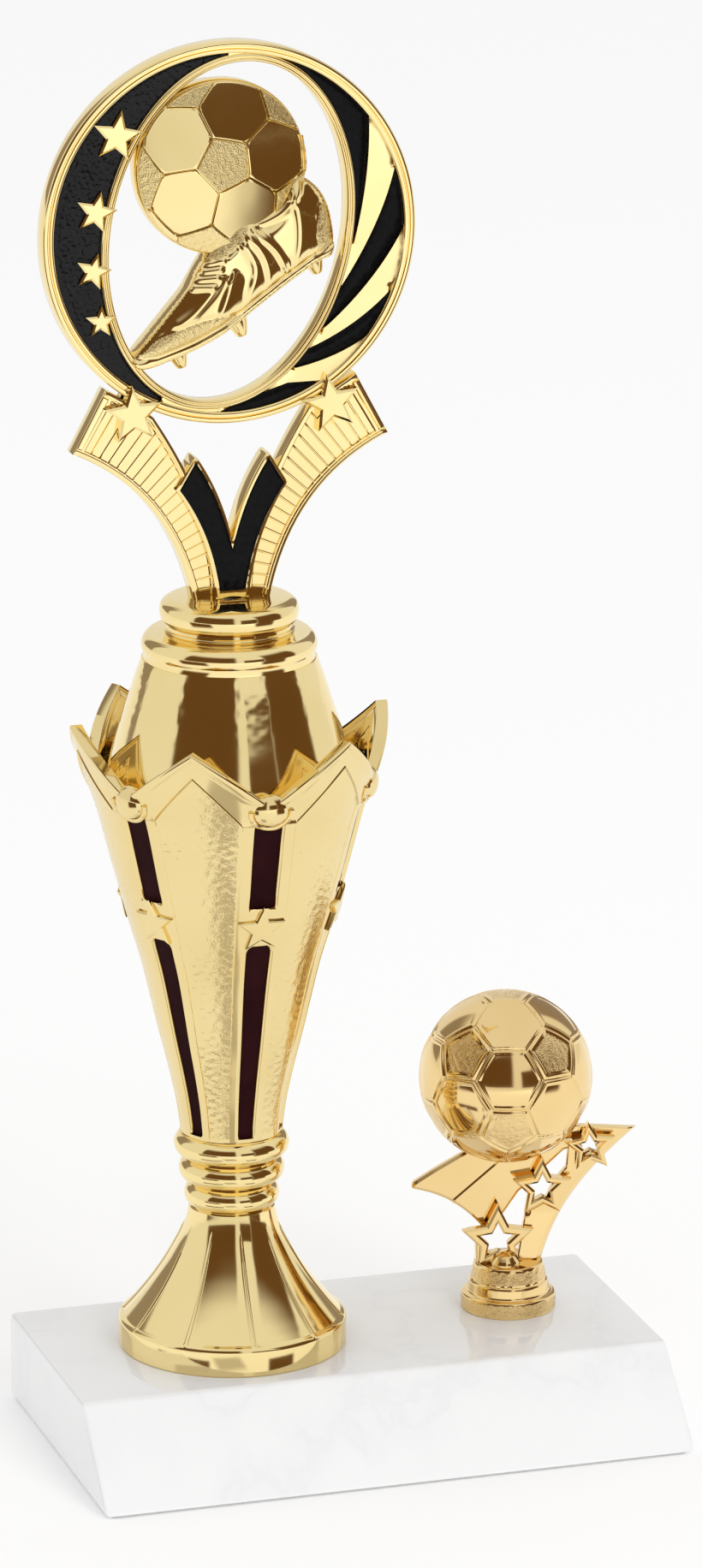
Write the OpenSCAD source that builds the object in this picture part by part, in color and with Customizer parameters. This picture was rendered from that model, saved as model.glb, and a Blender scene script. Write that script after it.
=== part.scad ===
// Soccer figure trophy: marble base, metallised riser with a petal cup, ring figure and a small ball trim.
// Millimetres. Origin: centre of the base footprint on the surface it stands on. X right, Y back, Z up.

/* [Base] */
// Width of the marble slab, left to right
base_w = 127; // [120:1:150]
// Depth of the slab at its bottom edge
base_d = 76.2; // [76:0.1:90]
// Height of the marble slab
marble_h = 18.4; // [17:0.1:25]
// Distance the top front edge stands behind the bottom front edge
front_setback = 18.4; // [14:0.1:19]
// Thickness of the felt sheet glued under the slab
felt_t = 0.6; // [0.4:0.1:2]

/* [Column] */
// Column axis, sideways from the middle of the base
column_x = -23.1; // [-28:0.1:-20]
// Column axis, back from the middle of the base
column_y = 8.3; // [6:0.1:10]
// Radius of the foot band
foot_r = 23.9; // [23:0.1:25]
// Height of the foot band
band_h = 6.2; // [5:0.1:7]
// Number of ridges round the foot
foot_ridges = 10; // [6:1:14]
// Number of petals round the cup
petals = 6; // [6:1:6]
// Wall of the plated plastic mouldings
wall = 1.6; // [1.2:0.1:2]
// Diameter of the threaded rod, a quarter inch
rod_d = 6.35; // [6:0.05:6.4]

/* [Figure] */
// Outer radius of the ring
ring_r = 39.1; // [38.8:0.1:39.4]
// Front to back thickness of the ring and arm rims
rim_t = 5; // [4.6:0.1:5.4]
// Width of the ring rim
rim_w = 2.4; // [2.2:0.1:2.6]
// Half length of the oval opening
oval_a = 34.9; // [34.5:0.1:35]
// Half width of the oval opening
oval_b = 24.5; // [24:0.1:25]
// Lean of the oval, top to the right, in degrees
oval_lean = 11.5; // [10:0.5:13]
// Radius of the relief ball
ball_r = 17.9; // [17.4:0.1:18]

/* [Trim] */
// Trim axis, sideways from the middle of the base
trim_x = 38.8; // [36:0.1:42]
// Trim axis, back from the middle of the base
trim_y = 11; // [8:0.1:13]
// Turn of the trim about its axis, in degrees
trim_turn = -12; // [-20:1:0]
// Radius of the trim ball
trim_ball_r = 18.3; // [17:0.1:18.6]

/* [Hidden] */
$fn = 64;

gold = [0.85, 0.68, 0.32];
dark_gold = [0.72, 0.55, 0.24];
black = [0.07, 0.07, 0.07];
maroon = [0.22, 0.06, 0.06];
steel = [0.72, 0.73, 0.75];

base_top = felt_t + marble_h;
rod_hole_r = rod_d / 2 + 0.35;
washer_gap = 0.3; // between a washer's bore and its screw or rod
cut = 1; // how far a cutting solid passes the face it cuts

// Heights of the joints between the stacked mouldings
foot_top = base_top + 30.1;
cup_bottom = base_top + 46.6;
valley_z = base_top + 124.4;
petal_z = base_top + 136.4;
dome_seat_z = base_top + 119;
dome_top = base_top + 148.5;
cap_top = base_top + 155.6;
plinth_top = base_top + 161.2;
ring_z = base_top + 236.8;

// Fasteners: quarter inch hex nut, flat washer, counterbores in the slab
nut_af = 11.1;
nut_h = 5.5;
low_nut_h = 3.1;
washer_r = 9;
washer_t = 1.2;
counterbore_r = 10;
counterbore_h = 8;
rod_bottom = felt_t + 1;
rod_top = plinth_top - 1.2;
screw_r = 2.4;
screw_head_r = 4.6;
screw_head_h = 2.8;
trim_counterbore_r = 7.5;
trim_washer_r = 6;
trim_washer_t = 1;
insert_r = 3.6;
insert_h = 8;
screw_len = 18;
socket_r = 2;
socket_h = 1.4;

// ---- Curves -----------------------------------------------------------------------------------

// Points along a quadratic Bezier curve from a to c, pulled towards b
function curve(a, b, c, n = 12) =
    [for (i = [0:n]) let (t = i / n) (1 - t) * (1 - t) * a + 2 * t * (1 - t) * b + t * t * c];

// Points of an ellipse with half axes a (leaning right of upright) and b
function ellipse_points(a, b, lean, n = 96) =
    [for (i = [0:n - 1]) let (t = 360 * i / n)
        [a * sin(lean) * cos(t) + b * cos(lean) * sin(t), a * cos(lean) * cos(t) - b * sin(lean) * sin(t)]];

// Points of a five pointed star, first tip at angle turn
function star_points(r, turn = 90, inner = 0.44) =
    [for (i = [0:9]) let (q = i % 2 == 0 ? r : r * inner) [q * cos(turn + 36 * i), q * sin(turn + 36 * i)]];

function reversed(p) = [for (i = [len(p) - 1:-1:0]) p[i]];

// Closed Catmull-Rom curve through the points p
function closed_curve(p, n = 5) =
    [for (i = [0:len(p) - 1], k = [0:n - 1])
        let (a = p[(i + len(p) - 1) % len(p)], b = p[i], c = p[(i + 1) % len(p)], d = p[(i + 2) % len(p)],
             t = k / n)
        0.5 * (2 * b + (c - a) * t + (2 * a - 5 * b + 4 * c - d) * t * t
             + (3 * b - 3 * c + d - a) * t * t * t)];

function mirrored(p) = [for (q = p) [-q[0], q[1]]];

// ---- Placing ----------------------------------------------------------------------------------

module at_column(z = 0) { translate([column_x, column_y, z]) children(); }

module at_trim(z = 0) { translate([trim_x, trim_y, z]) rotate([0, 0, trim_turn]) children(); }

// A flat shape stood upright, centred on the figure's plane
module upright(t) { rotate([90, 0, 0]) linear_extrude(t, center = true) children(); }

// The same shape on the front and the back, between depths d0 and d1 from the plane
module both_faces(d0, d1) {
    rotate([90, 0, 0]) translate([0, 0, d0]) linear_extrude(d1 - d0) children();
    rotate([90, 0, 0]) translate([0, 0, -d1]) linear_extrude(d1 - d0) children();
}

module hex_nut(af, h, bore_r) {
    difference() {
        cylinder(r = af / sqrt(3), h = h, $fn = 6);
        translate([0, 0, -cut]) cylinder(r = bore_r, h = h + 2 * cut);
    }
}

module washer(r, bore_r, t) {
    difference() {
        cylinder(r = r, h = t);
        translate([0, 0, -cut]) cylinder(r = bore_r, h = t + 2 * cut);
    }
}

// ---- Base -------------------------------------------------------------------------------------

module felt_pad() {
    inset = 1.2;
    color("darkgreen")
    translate([-base_w / 2 + inset, -base_d / 2 + inset, 0])
    cube([base_w - 2 * inset, base_d - 2 * inset, felt_t]);
}

module slab_section() {
    bevel = 0.8;
    front = -base_d / 2;
    back = base_d / 2;
    polygon([[front + bevel, felt_t], [front, felt_t + bevel],
        [front + front_setback - bevel / 2, base_top - bevel / 2], [front + front_setback + bevel, base_top],
        [back - bevel, base_top], [back, base_top - bevel], [back, felt_t + bevel], [back - bevel, felt_t]]);
}

module marble_base() {
    color("whitesmoke")
    difference() {
        rotate([90, 0, 90]) linear_extrude(base_w, center = true) slab_section();
        at_column(felt_t - cut) cylinder(r = counterbore_r, h = counterbore_h + cut);
        at_column(0) cylinder(r = rod_hole_r, h = base_top + cut);
        at_trim(felt_t - cut) cylinder(r = trim_counterbore_r, h = counterbore_h + cut);
        at_trim(0) cylinder(r = screw_r + washer_gap, h = base_top + cut);
    }
}

module rod() {
    color(steel) at_column(rod_bottom) cylinder(r = rod_d / 2, h = rod_top - rod_bottom);
}

module rod_washer() {
    z = felt_t + counterbore_h - washer_t;
    color(steel) at_column(z) washer(washer_r, rod_d / 2 + washer_gap, washer_t);
}

module rod_nut() {
    color(steel) at_column(felt_t + counterbore_h - washer_t - nut_h) hex_nut(nut_af, nut_h, rod_d / 2);
}

// ---- Riser ------------------------------------------------------------------------------------

// Outline of the foot above its band, radius against height
function flare() = [[foot_r - 1.1, band_h + 1.1], [21, 8.9], [18.8, 11.1], [16.4, 14.2], [14.3, 17.3],
    [12.5, 20.4], [10.8, 23.6], [9.6, 26], [8.6, 28.6]];

module foot() {
    under = [for (p = reversed(flare())) [p[0] - wall, p[1] - wall]];
    color(gold)
    at_column(base_top) {
        rotate_extrude()
        polygon(concat([[foot_r - wall, 0], [foot_r, 0], [foot_r, band_h]], flare(),
            [[8.4, foot_top - base_top], [rod_hole_r, foot_top - base_top],
            [rod_hole_r, foot_top - base_top - wall]], under));
        foot_ridge_set();
    }
}

// Narrow ridges that run down the flare to the band
module foot_ridge_set() {
    proud = 0.45;
    buried = 0.4;
    width = 5;
    start = -5.2;
    spine = [for (i = [0:4]) flare()[i]];
    run_out = flare()[5];
    for (i = [0:foot_ridges - 1])
        rotate([0, 0, start + 360 * i / foot_ridges - 90 - width / 2])
        rotate_extrude(angle = width)
        polygon(concat([for (p = spine) p + [proud, proud]], [run_out, run_out - [buried, buried]],
            reversed([for (p = spine) p - [buried, buried]])));
}

// Three beads of falling size between the cup and the foot
module neck_beads() {
    bead_h = (cup_bottom - foot_top) / 3;
    bead_r = [10, 11.1, 12.1];
    core_r = 8.6;
    color(gold)
    at_column(foot_top)
    difference() {
        union() {
            cylinder(r = core_r, h = 3 * bead_h);
            for (i = [0:2])
                translate([0, 0, bead_h * (i + 0.5)])
                rotate_extrude()
                translate([bead_r[i] - bead_h / 2, 0])
                circle(r = bead_h / 2, $fn = 32);
        }
        translate([0, 0, -cut]) cylinder(r = rod_hole_r, h = 3 * bead_h + 2 * cut);
    }
}

// Radius at the petal tips
petal_r = 34.2;

// Outer outline of the cup above its bottom, radius against height
function cup_outline() = [[10.8, 0], [11.8, 7], [13.4, 14.4], [15.3, 22], [17, 29.4], [18.8, 36.9],
    [21, 44.2], [23, 51.6], [25, 59], [26.4, 64.4], [28.2, 71.2], [30.9, 79],
    [petal_r, petal_z - cup_bottom]];

// Radius of the cup at height h above its bottom
function cup_radius(h) = lookup(h, [for (p = cup_outline()) [p[1], p[0]]]);

function inset_outline(p, t) = [for (q = p) [q[0] - t, q[1]]];

// Hollow cup before it is cut, with a ledge inside for the dome to sit on
module cup_body() {
    outline = cup_outline();
    seat = dome_seat_z - cup_bottom;
    seat_r = cup_radius(seat) - wall;
    ledge_w = 2.4;
    ledge_t = 1.4;
    bottom_t = wall + 0.6;
    above = [for (p = outline) if (p[1] > seat + 1) p];
    below = [for (p = outline) if (p[1] < seat - 2) p];
    rotate_extrude()
    polygon(concat([[rod_hole_r, 0]], outline, reversed(inset_outline(above, wall)),
        [[seat_r, seat], [seat_r - ledge_w, seat], [seat_r - ledge_w, seat - ledge_t],
        [seat_r - 0.3, seat - ledge_t]], reversed(inset_outline(below, wall)),
        [[9.2, bottom_t], [rod_hole_r, bottom_t]]));
}

// Notches that leave a ring of pointed petals
module petal_notches() {
    reach = petal_r + 10;
    half_w = petal_r * sin(180 / petals);
    top = petal_z - cup_bottom;
    low = valley_z - cup_bottom;
    for (i = [0:petals - 1])
        rotate([90, 0, 360 * i / petals])
        linear_extrude(reach)
        polygon([[0, low], [half_w, top], [half_w, top + cut], [-half_w, top + cut], [-half_w, top]]);
}

// Two slots in the strip below each notch, above and below the star
module cup_slots() {
    floor_r = 9;
    for (i = [0:petals - 1])
        rotate([90, 0, 360 * i / petals])
        translate([0, 0, floor_r])
        linear_extrude(petal_r) {
            polygon([[-2.6, 54.6], [2.6, 54.6], [2.8, 73.8], [-2.8, 73.8]]);
            polygon([[-1.5, 0.8], [1.5, 0.8], [2.5, 44.6], [1.8, 46], [-1.8, 46], [-2.5, 44.6]]);
        }
}

module cup_shell() {
    color(gold)
    at_column(cup_bottom)
    difference() {
        cup_body();
        petal_notches();
        cup_slots();
    }
}

// A raised star between the two slots of each strip
module cup_stars() {
    star_r = 5.2;
    star_h = 49.7;
    star_out = 24.3;
    outline = cup_outline();
    color(gold)
    at_column(cup_bottom)
    difference() {
        for (i = [0:petals - 1])
            rotate([90, 0, 360 * i / petals])
            translate([0, star_h, 0])
            linear_extrude(star_out)
            polygon(star_points(star_r));
        rotate_extrude() polygon(concat([[0, 0]], outline, [[0, petal_z - cup_bottom]]));
    }
}

// Dark sleeve inside the cup, seen through its slots
module cup_liner() {
    gap = 0.5;
    thick = 1;
    low = 2.6;
    high = dome_seat_z - cup_bottom - 2;
    levels = [for (i = [0:8]) low + (high - low) * i / 8];
    color(maroon)
    at_column(cup_bottom)
    rotate_extrude()
    polygon(concat([[rod_hole_r, low]], [for (h = levels) [cup_radius(h) - wall - gap, h]],
        reversed([for (h = levels) [cup_radius(h) - wall - gap - thick, max(h, low + thick)]]),
        [[rod_hole_r, low + thick]]));
}

// Dome that closes the cup, radius against height above its seat
dome_h = dome_top - dome_seat_z;
function dome_outline() = [[25.3, 0], [25.4, 3], [25.2, 6.5], [23.9, 11.3], [22.4, 16.2], [20.8, 21.3],
    [19.3, 26], [18, dome_h]];

module crown_dome() {
    inside_r = 16.9;
    color(gold)
    at_column(dome_seat_z)
    rotate_extrude()
    polygon(concat(dome_outline(),
        [[rod_hole_r, dome_h], [rod_hole_r, dome_h - wall], [inside_r, dome_h - wall]],
        reversed([for (i = [0:6]) dome_outline()[i] - [wall, 0]])));
}

// Collar that clamps the dome: a thick round, a waist and a fine bead
module riser_cap() {
    collar_r = 18.1;
    tube = 2.8;
    waist_r = 13.2;
    bead = 0.6;
    bead_z = 5.6;
    cap_h = cap_top - dome_top;
    color(gold)
    at_column(dome_top)
    difference() {
        union() {
            cylinder(r = collar_r - tube, h = 2 * tube);
            translate([0, 0, tube])
                rotate_extrude()
                translate([collar_r - tube, 0])
                circle(r = tube, $fn = 32);
            cylinder(r = waist_r, h = cap_h);
            translate([0, 0, bead_z]) rotate_extrude() translate([waist_r, 0]) circle(r = bead, $fn = 24);
        }
        translate([0, 0, -cut]) cylinder(r = rod_hole_r, h = cap_h + 2 * cut);
    }
}

// ---- Figure -----------------------------------------------------------------------------------

module figure_plinth() {
    h = plinth_top - cap_top;
    color(gold)
    at_column(cap_top)
    difference() {
        rotate_extrude()
        polygon(concat([[0, 0], [12.8, 0]], curve([13, 0.4], [14.3, 2.2], [14.2, 3.4], 6),
            curve([14.2, 3.4], [14, 5.3], [11.4, h], 6), [[0, h]]));
        translate([0, 0, -cut]) cylinder(r = rod_hole_r, h = rod_top - cap_top + cut);
        translate([0, 0, -cut]) cylinder(r = nut_af / sqrt(3) + 0.15, h = low_nut_h + cut, $fn = 6);
    }
}

module figure_nut() {
    color(steel) at_column(cap_top) hex_nut(nut_af, low_nut_h, rod_d / 2);
}

// Arms of the stem: the outer edge is an arc, the inner edge a curve, the end a straight cut
arm_corner = [33.3, base_top + 193.5];
arm_top = [26.4, base_top + 206.4];
arm_inner = [16.7, base_top + 200.6];
arm_root = [8.1, plinth_top];
ring_gap = 0.02;

function arm_outer(n = 14) = curve(arm_corner, [13.1, base_top + 184.6], arm_root, n);

function arm_inner_edge(n = 10) = curve([2.8, plinth_top], [3, base_top + 180], arm_inner, n);

function arm_outline() = concat([arm_top, arm_corner], arm_outer(), [[0, plinth_top]], arm_inner_edge(),
    [[21.5, base_top + 205.5]]);

module arm_shape() {
    for (s = [0, 1])
        mirror([s, 0])
        difference() {
            polygon(arm_outline());
            translate([0, ring_z]) circle(r = ring_r + ring_gap, $fn = 128);
        }
}

// The same arm drawn smaller, for the sunk field inside its rim
module arm_field() {
    inner = [for (p = curve([3, plinth_top + 1.2], [3.2, base_top + 180], [14.9, base_top + 198.4], 10))
        p + [1, -0.3]];
    outer = curve([30.7, base_top + 193.6], [13.2, base_top + 183.2], [6.7, plinth_top + 1.2], 14);
    for (s = [0, 1])
        mirror([s, 0])
        polygon(concat([[25.2, base_top + 204.2]], outer, inner, [[20.4, base_top + 203]]));
}

// Black V between the arms
v_tip = [7.7, base_top + 190.2];
v_shoulder = [11.1, base_top + 184.6];
v_notch = [0, base_top + 171.7];

function v_half() = concat(curve([2.8, plinth_top + 0.4], [4.2, base_top + 175], v_shoulder, 8), [v_tip],
    curve(v_tip, [2.6, base_top + 182.7], v_notch, 8));

module v_shape() { polygon(concat(v_half(), reversed(mirrored(v_half())))); }

// Gold bed of the V, a narrow border wider than the black
function v_bed_half() = concat(curve([3.6, plinth_top], [5, base_top + 174.6], v_shoulder + [0.9, 0], 8),
    [v_tip + [0.1, 1.1]], curve(v_tip + [-0.6, 1], [1.9, base_top + 183.4], v_notch + [0, 1.8], 8));

module v_bed() { polygon(concat(v_bed_half(), reversed(mirrored(v_bed_half())))); }

// Ribs that cross the sunk field of each arm
module arm_ribs() {
    count = 15;
    a = arm_outer(count + 2);
    b = reversed(arm_inner_edge(count + 2));
    w = 0.4;
    intersection() {
        arm_field();
        for (s = [0, 1], i = [1:count])
            mirror([s, 0])
            let (p = a[i], q = b[i], d = (q - p) / norm(q - p), n = [-d[1], d[0]] * w)
            polygon([p - n, q - n, q + n, p + n]);
    }
}

module stem() {
    floor_t = 3;
    rib_t = 3.8;
    bed_t = 5.6;
    color(gold)
    at_column()
    union() {
        upright(floor_t) arm_shape();
        upright(rim_t)
        difference() {
            arm_shape();
            arm_field();
        }
        upright(rib_t) arm_ribs();
        upright(bed_t) v_bed();
    }
}

module stem_inlay() { color(black) at_column() both_faces(2.8, 3.3) v_shape(); }

oval_centre = [-0.3, 0.3];
oval_rim = 1.8;

module oval(grow = 0) {
    translate(oval_centre) polygon(ellipse_points(oval_a + grow, oval_b + grow, oval_lean));
}

module ring_disc(grow = 0) { circle(r = ring_r + grow, $fn = 128); }

// Field between the oval rim and the ring rim
module web() {
    difference() {
        ring_disc(-rim_w);
        oval(oval_rim);
    }
}

// Edges of the swept rays, each from the ring rim to the oval
ray_1 = curve([28.8, 24.9], [29.8, 12], [25.8, -3.5]);
ray_2 = curve([35.2, 12.6], [32.5, 0], [22.5, -14]);
ray_3 = curve([37.4, 1.4], [31.5, -11], [19, -21]);
ray_4 = curve([35.2, -12.6], [27.5, -21], [15.4, -25.4]);
ray_5 = curve([32.2, -19.7], [25.5, -26.5], [12, -28.6]);

module black_rays() {
    intersection() {
        web();
        union() {
            polygon(concat([[0, 0], [10, 42], [34, 30]], ray_1, [[20, -4]]));
            polygon(concat(ray_2, reversed(ray_3)));
            polygon(concat(ray_4, reversed(ray_5)));
            polygon([[22, -31.8], [12, -31.8], [3.7, -34.4], [-2.5, -36.9], [-2.5, -40], [22, -40]]);
        }
    }
}

module crescent() {
    intersection() {
        web();
        polygon([[-0.5, 40], [-0.5, 30], [-20, 0], [-14.8, -31], [-14.8, -40], [-45, -40], [-45, 40]]);
    }
}

// Stars on the crescent: centre, radius, turn of the first tip
crescent_stars = [[-23.5, 21.2, 5.4, 80], [-28, 6, 4.5, 76], [-28.7, -6, 3.9, 75], [-27.2, -16.4, 3.4, 88]];

module crescent_star_shapes() {
    difference() {
        for (s = crescent_stars) translate([s[0], s[1]]) polygon(star_points(s[2], s[3]));
        oval(oval_rim + ring_gap);
    }
}

// Depths from the figure's plane: the web's face, the face of the black fills, the face of the stars
web_face = 1.2;
fill_face = 1.9;
star_face = 2.6;

module ring_frame() {
    ray_t = 4;
    color(gold)
    at_column(ring_z)
    union() {
        upright(rim_t)
        difference() {
            ring_disc();
            ring_disc(-rim_w);
        }
        upright(rim_t)
        intersection() {
            ring_disc(-0.2);
            difference() {
                oval(oval_rim);
                oval();
            }
        }
        upright(2 * web_face) web();
        upright(ray_t)
        difference() {
            web();
            black_rays();
            crescent();
        }
    }
}

module crescent_inlay() {
    color(black)
    at_column(ring_z)
    both_faces(web_face, fill_face)
    difference() {
        crescent();
        crescent_star_shapes();
    }
}

module ray_inlays() { color(black) at_column(ring_z) both_faces(web_face, fill_face) black_rays(); }

module ring_stars() { color(gold) at_column(ring_z) both_faces(web_face, star_face) crescent_star_shapes(); }

// Two larger stars where the ring meets the arms
module joint_stars() {
    star_r = 6.3;
    star_t = 1.4;
    color(gold)
    at_column()
    both_faces(rim_t / 2, rim_t / 2 + star_t) {
        translate([-20.8, base_top + 201]) polygon(star_points(star_r, 94));
        translate([20.9, base_top + 200.6]) polygon(star_points(star_r, 100));
    }
}

// ---- Ball and boot inside the oval --------------------------------------------------------------

ball_centre = [-1.9, 13.7];
boot_t = 11.6;
boot_edge_t = 6.4;

boot_outline = closed_curve([[-19.6, -26.2], [-17.2, -23.2], [-11.6, -16.8], [-7.1, -11.5], [-4.7, -4.8],
    [-0.9, -0.5], [2.8, 3.2], [5.4, 1.4], [9.1, 3.3], [11.9, 7.4], [14.2, 11.4], [17.5, 10.4], [21.6, 5.2],
    [22.8, -2.6], [21.6, -8.7], [16.7, -9.5], [11.7, -12.9], [4, -18.7], [-5.1, -23.5], [-11.7, -27.2],
    [-16.4, -28]], 4);

module inside_oval() {
    intersection() {
        children();
        oval();
    }
}

// A disc with a shallow dome on both faces
module ball_lens() {
    edge_t = 3;
    rise = 4.4;
    dome_r = (ball_r * ball_r + rise * rise) / (2 * rise);
    span = asin(ball_r / dome_r);
    arc = [for (i = [0:8])
        let (a = span * i / 8)
        [dome_r * sin(a), edge_t / 2 + rise - dome_r * (1 - cos(a))]];
    rotate([90, 0, 0])
    rotate_extrude($fn = 96)
    polygon(concat(arc, reversed([for (p = arc) [p[0], -p[1]]])));
}

module figure_ball() {
    color(gold)
    at_column(ring_z)
    difference() {
        translate([ball_centre[0], 0, ball_centre[1]]) ball_lens();
        upright(2 * boot_t) polygon(boot_outline);
    }
}

module boot() {
    stud_places = [[-9.3, -26.3], [2.9, -19.7], [19.7, -8.9]];
    stud_lean = 33;
    stud_root = 2;
    stud_h = 3.2;
    color(dark_gold)
    at_column(ring_z)
    union() {
        upright(boot_edge_t) inside_oval() polygon(boot_outline);
        upright(boot_t) translate([0.6, -0.6]) scale(0.9) polygon(boot_outline);
        for (p = stud_places)
            translate([p[0], 0, p[1]])
            rotate([0, 180 - stud_lean, 0])
            translate([0, 0, -stud_root])
            cylinder(r1 = 2.4, r2 = 1.2, h = stud_root + stud_h, $fn = 24);
    }
}

// ---- Trim figure --------------------------------------------------------------------------------

trim_deck = base_top + 10.4;
trim_ball_z = base_top + 51.2;
trim_ball_u = -0.8;
plate_back = 2.2;
star_front = 2.8;
// Star centres in the trim's plane, their radii and the turn of the first tip
trim_star_places = [[-2.5, base_top + 15.2, 8, 90], [6.9, base_top + 26.6, 6.5, 90],
    [17, base_top + 35.5, 5.7, 95]];
// Size of the opening in each star against the star
star_opening = 0.55;

module trim_pedestal() {
    deck_h = trim_deck - base_top;
    color(gold)
    at_trim(base_top)
    difference() {
        rotate_extrude()
        polygon([[0, 0], [10, 0], [10, 3.3], [9.6, 3.7], [8.8, 3.8], [8.4, 6.2], [8.1, 6.4],
            [7.4, deck_h - 0.2], [7.1, deck_h], [0, deck_h]]);
        translate([0, 0, -cut]) cylinder(r = insert_r, h = insert_h + cut);
    }
}

module trim_insert() {
    color("goldenrod")
    at_trim(base_top)
    difference() {
        cylinder(r = insert_r, h = insert_h);
        translate([0, 0, -cut]) cylinder(r = screw_r, h = insert_h + 2 * cut);
    }
}

// The ball in the trim's own coordinates
module ball_at_trim() { translate([trim_ball_u, 0, trim_ball_z]) sphere(r = trim_ball_r, $fn = 96); }

module trim_star_outlines(shrink = 1) {
    for (s = trim_star_places) translate([s[0], s[1]]) polygon(star_points(s[2] * shrink, s[3], 0.5));
}

// A plate that stands behind the stars
module trim_plate() {
    rotate([90, 0, 0])
    translate([0, 0, -plate_back])
    linear_extrude(plate_back)
    children();
}

// Edge of the swoosh towards the wing, from the pedestal up
swoosh_inner = [[1.8, trim_deck], [2.8, base_top + 16], [3.4, base_top + 20], [7.5, base_top + 22.5],
    [9.5, base_top + 27], [12.2, base_top + 30.2], [12.6, base_top + 34.5], [13.4, base_top + 39.6]];

// A leg on the pedestal that sweeps up behind the stars to a point
module trim_swoosh() {
    outer = curve([7, trim_deck], [9.9, base_top + 20], [16.6, base_top + 28.1], 8);
    tip = curve([16.6, base_top + 28.1], [21.4, base_top + 33.8], [27.1, base_top + 38.6], 6);
    color(gold)
    at_trim()
    trim_plate()
    difference() {
        polygon(concat(outer, tip, reversed(swoosh_inner)));
        trim_star_outlines(star_opening);
    }
}

// Pointed wing that runs left from the swoosh under the ball
module trim_wing() {
    low = curve([-20.6, base_top + 26.4], [-11, base_top + 24.6], [-5.3, base_top + 17], 8);
    right = [[-2.4, base_top + 18.5], [-1.2, base_top + 20.8], [1.6, base_top + 25.2], [4, base_top + 27.4],
        [7.8, base_top + 31.2], [11.8, base_top + 34.4], [13.2, base_top + 34.4], [13.4, base_top + 37.4]];
    high = [[0, base_top + 38], [-8.9, base_top + 34.5], [-16, base_top + 30.4], [-20.4, base_top + 27.8]];
    wing_reach = 40;
    color(gold)
    at_trim()
    difference() {
        trim_plate()
        difference() {
            polygon(concat(low, right, high));
            trim_star_outlines(star_opening);
            polygon(concat(swoosh_inner, [[wing_reach, trim_deck + wing_reach], [wing_reach, trim_deck]]));
        }
        ball_at_trim();
    }
}

// Three open stars in front of the plate
module trim_stars() {
    color(gold)
    at_trim()
    difference() {
        rotate([90, 0, 0])
        linear_extrude(star_front)
        difference() {
            union() {
                trim_star_outlines();
                polygon([[-7.2, trim_deck - 1], [-7.4, base_top + 15.6], [-4.4, base_top + 15.6],
                    [-4.4, trim_deck - 1]]);
            }
            trim_star_outlines(star_opening);
            translate([-15, base_top]) square([30, trim_deck - base_top]);
        }
        ball_at_trim();
    }
}

module trim_ball() { color(gold) at_trim() ball_at_trim(); }

module trim_washer() {
    z = felt_t + counterbore_h - trim_washer_t;
    color(steel) at_trim(z) washer(trim_washer_r, screw_r + washer_gap, trim_washer_t);
}

module trim_screw() {
    z = felt_t + counterbore_h - trim_washer_t - screw_head_h;
    color(steel)
    at_trim(z)
    difference() {
        union() {
            cylinder(r = screw_head_r, h = screw_head_h);
            cylinder(r = screw_r, h = screw_head_h + screw_len);
        }
        translate([0, 0, -cut]) cylinder(r = socket_r, h = socket_h + cut, $fn = 6);
    }
}

felt_pad();
marble_base();
rod();
rod_washer();
rod_nut();
foot();
neck_beads();
cup_shell();
cup_stars();
cup_liner();
crown_dome();
riser_cap();
figure_plinth();
figure_nut();
stem();
stem_inlay();
ring_frame();
crescent_inlay();
ray_inlays();
ring_stars();
joint_stars();
figure_ball();
boot();
trim_pedestal();
trim_insert();
trim_swoosh();
trim_wing();
trim_stars();
trim_ball();
trim_screw();
trim_washer();
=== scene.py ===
"""Looks of the soccer trophy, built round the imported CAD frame.

Lengths inside this file are millimetres in the row frame (X right, Y back, Z up); mesh_object() turns them
into metres. Flat parts of the figure and of the trim are drawn in their own plane: u to the right, w up and
d towards the front of the plane.
"""
import math

import bpy
import numpy as np
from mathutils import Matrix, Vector
from mathutils.geometry import delaunay_2d_cdt


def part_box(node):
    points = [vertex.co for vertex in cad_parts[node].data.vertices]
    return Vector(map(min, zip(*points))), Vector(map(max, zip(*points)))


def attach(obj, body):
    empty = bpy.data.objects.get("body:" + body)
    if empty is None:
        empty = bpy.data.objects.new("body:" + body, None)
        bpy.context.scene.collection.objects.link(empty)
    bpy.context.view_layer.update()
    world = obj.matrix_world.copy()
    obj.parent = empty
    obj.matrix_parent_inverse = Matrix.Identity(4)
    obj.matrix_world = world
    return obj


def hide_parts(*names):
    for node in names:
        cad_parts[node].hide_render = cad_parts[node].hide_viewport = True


MM = 0.001
ROOT = "root"

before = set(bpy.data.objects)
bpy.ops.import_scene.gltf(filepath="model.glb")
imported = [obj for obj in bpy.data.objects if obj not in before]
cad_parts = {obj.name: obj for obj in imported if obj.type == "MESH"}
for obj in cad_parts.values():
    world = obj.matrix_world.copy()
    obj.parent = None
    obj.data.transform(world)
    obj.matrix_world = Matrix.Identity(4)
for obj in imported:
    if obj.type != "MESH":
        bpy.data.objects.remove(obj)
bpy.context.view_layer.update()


# ---- Places read from the CAD frame -------------------------------------------------------------

def cad_box(node):
    """Lowest and highest corner of a CAD node in millimetres."""
    lo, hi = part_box(node)
    return np.array(lo) / MM, np.array(hi) / MM


def cad_centre(node):
    """Middle of a CAD node's box in millimetres."""
    lo, hi = cad_box(node)
    return (lo + hi) / 2


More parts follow.
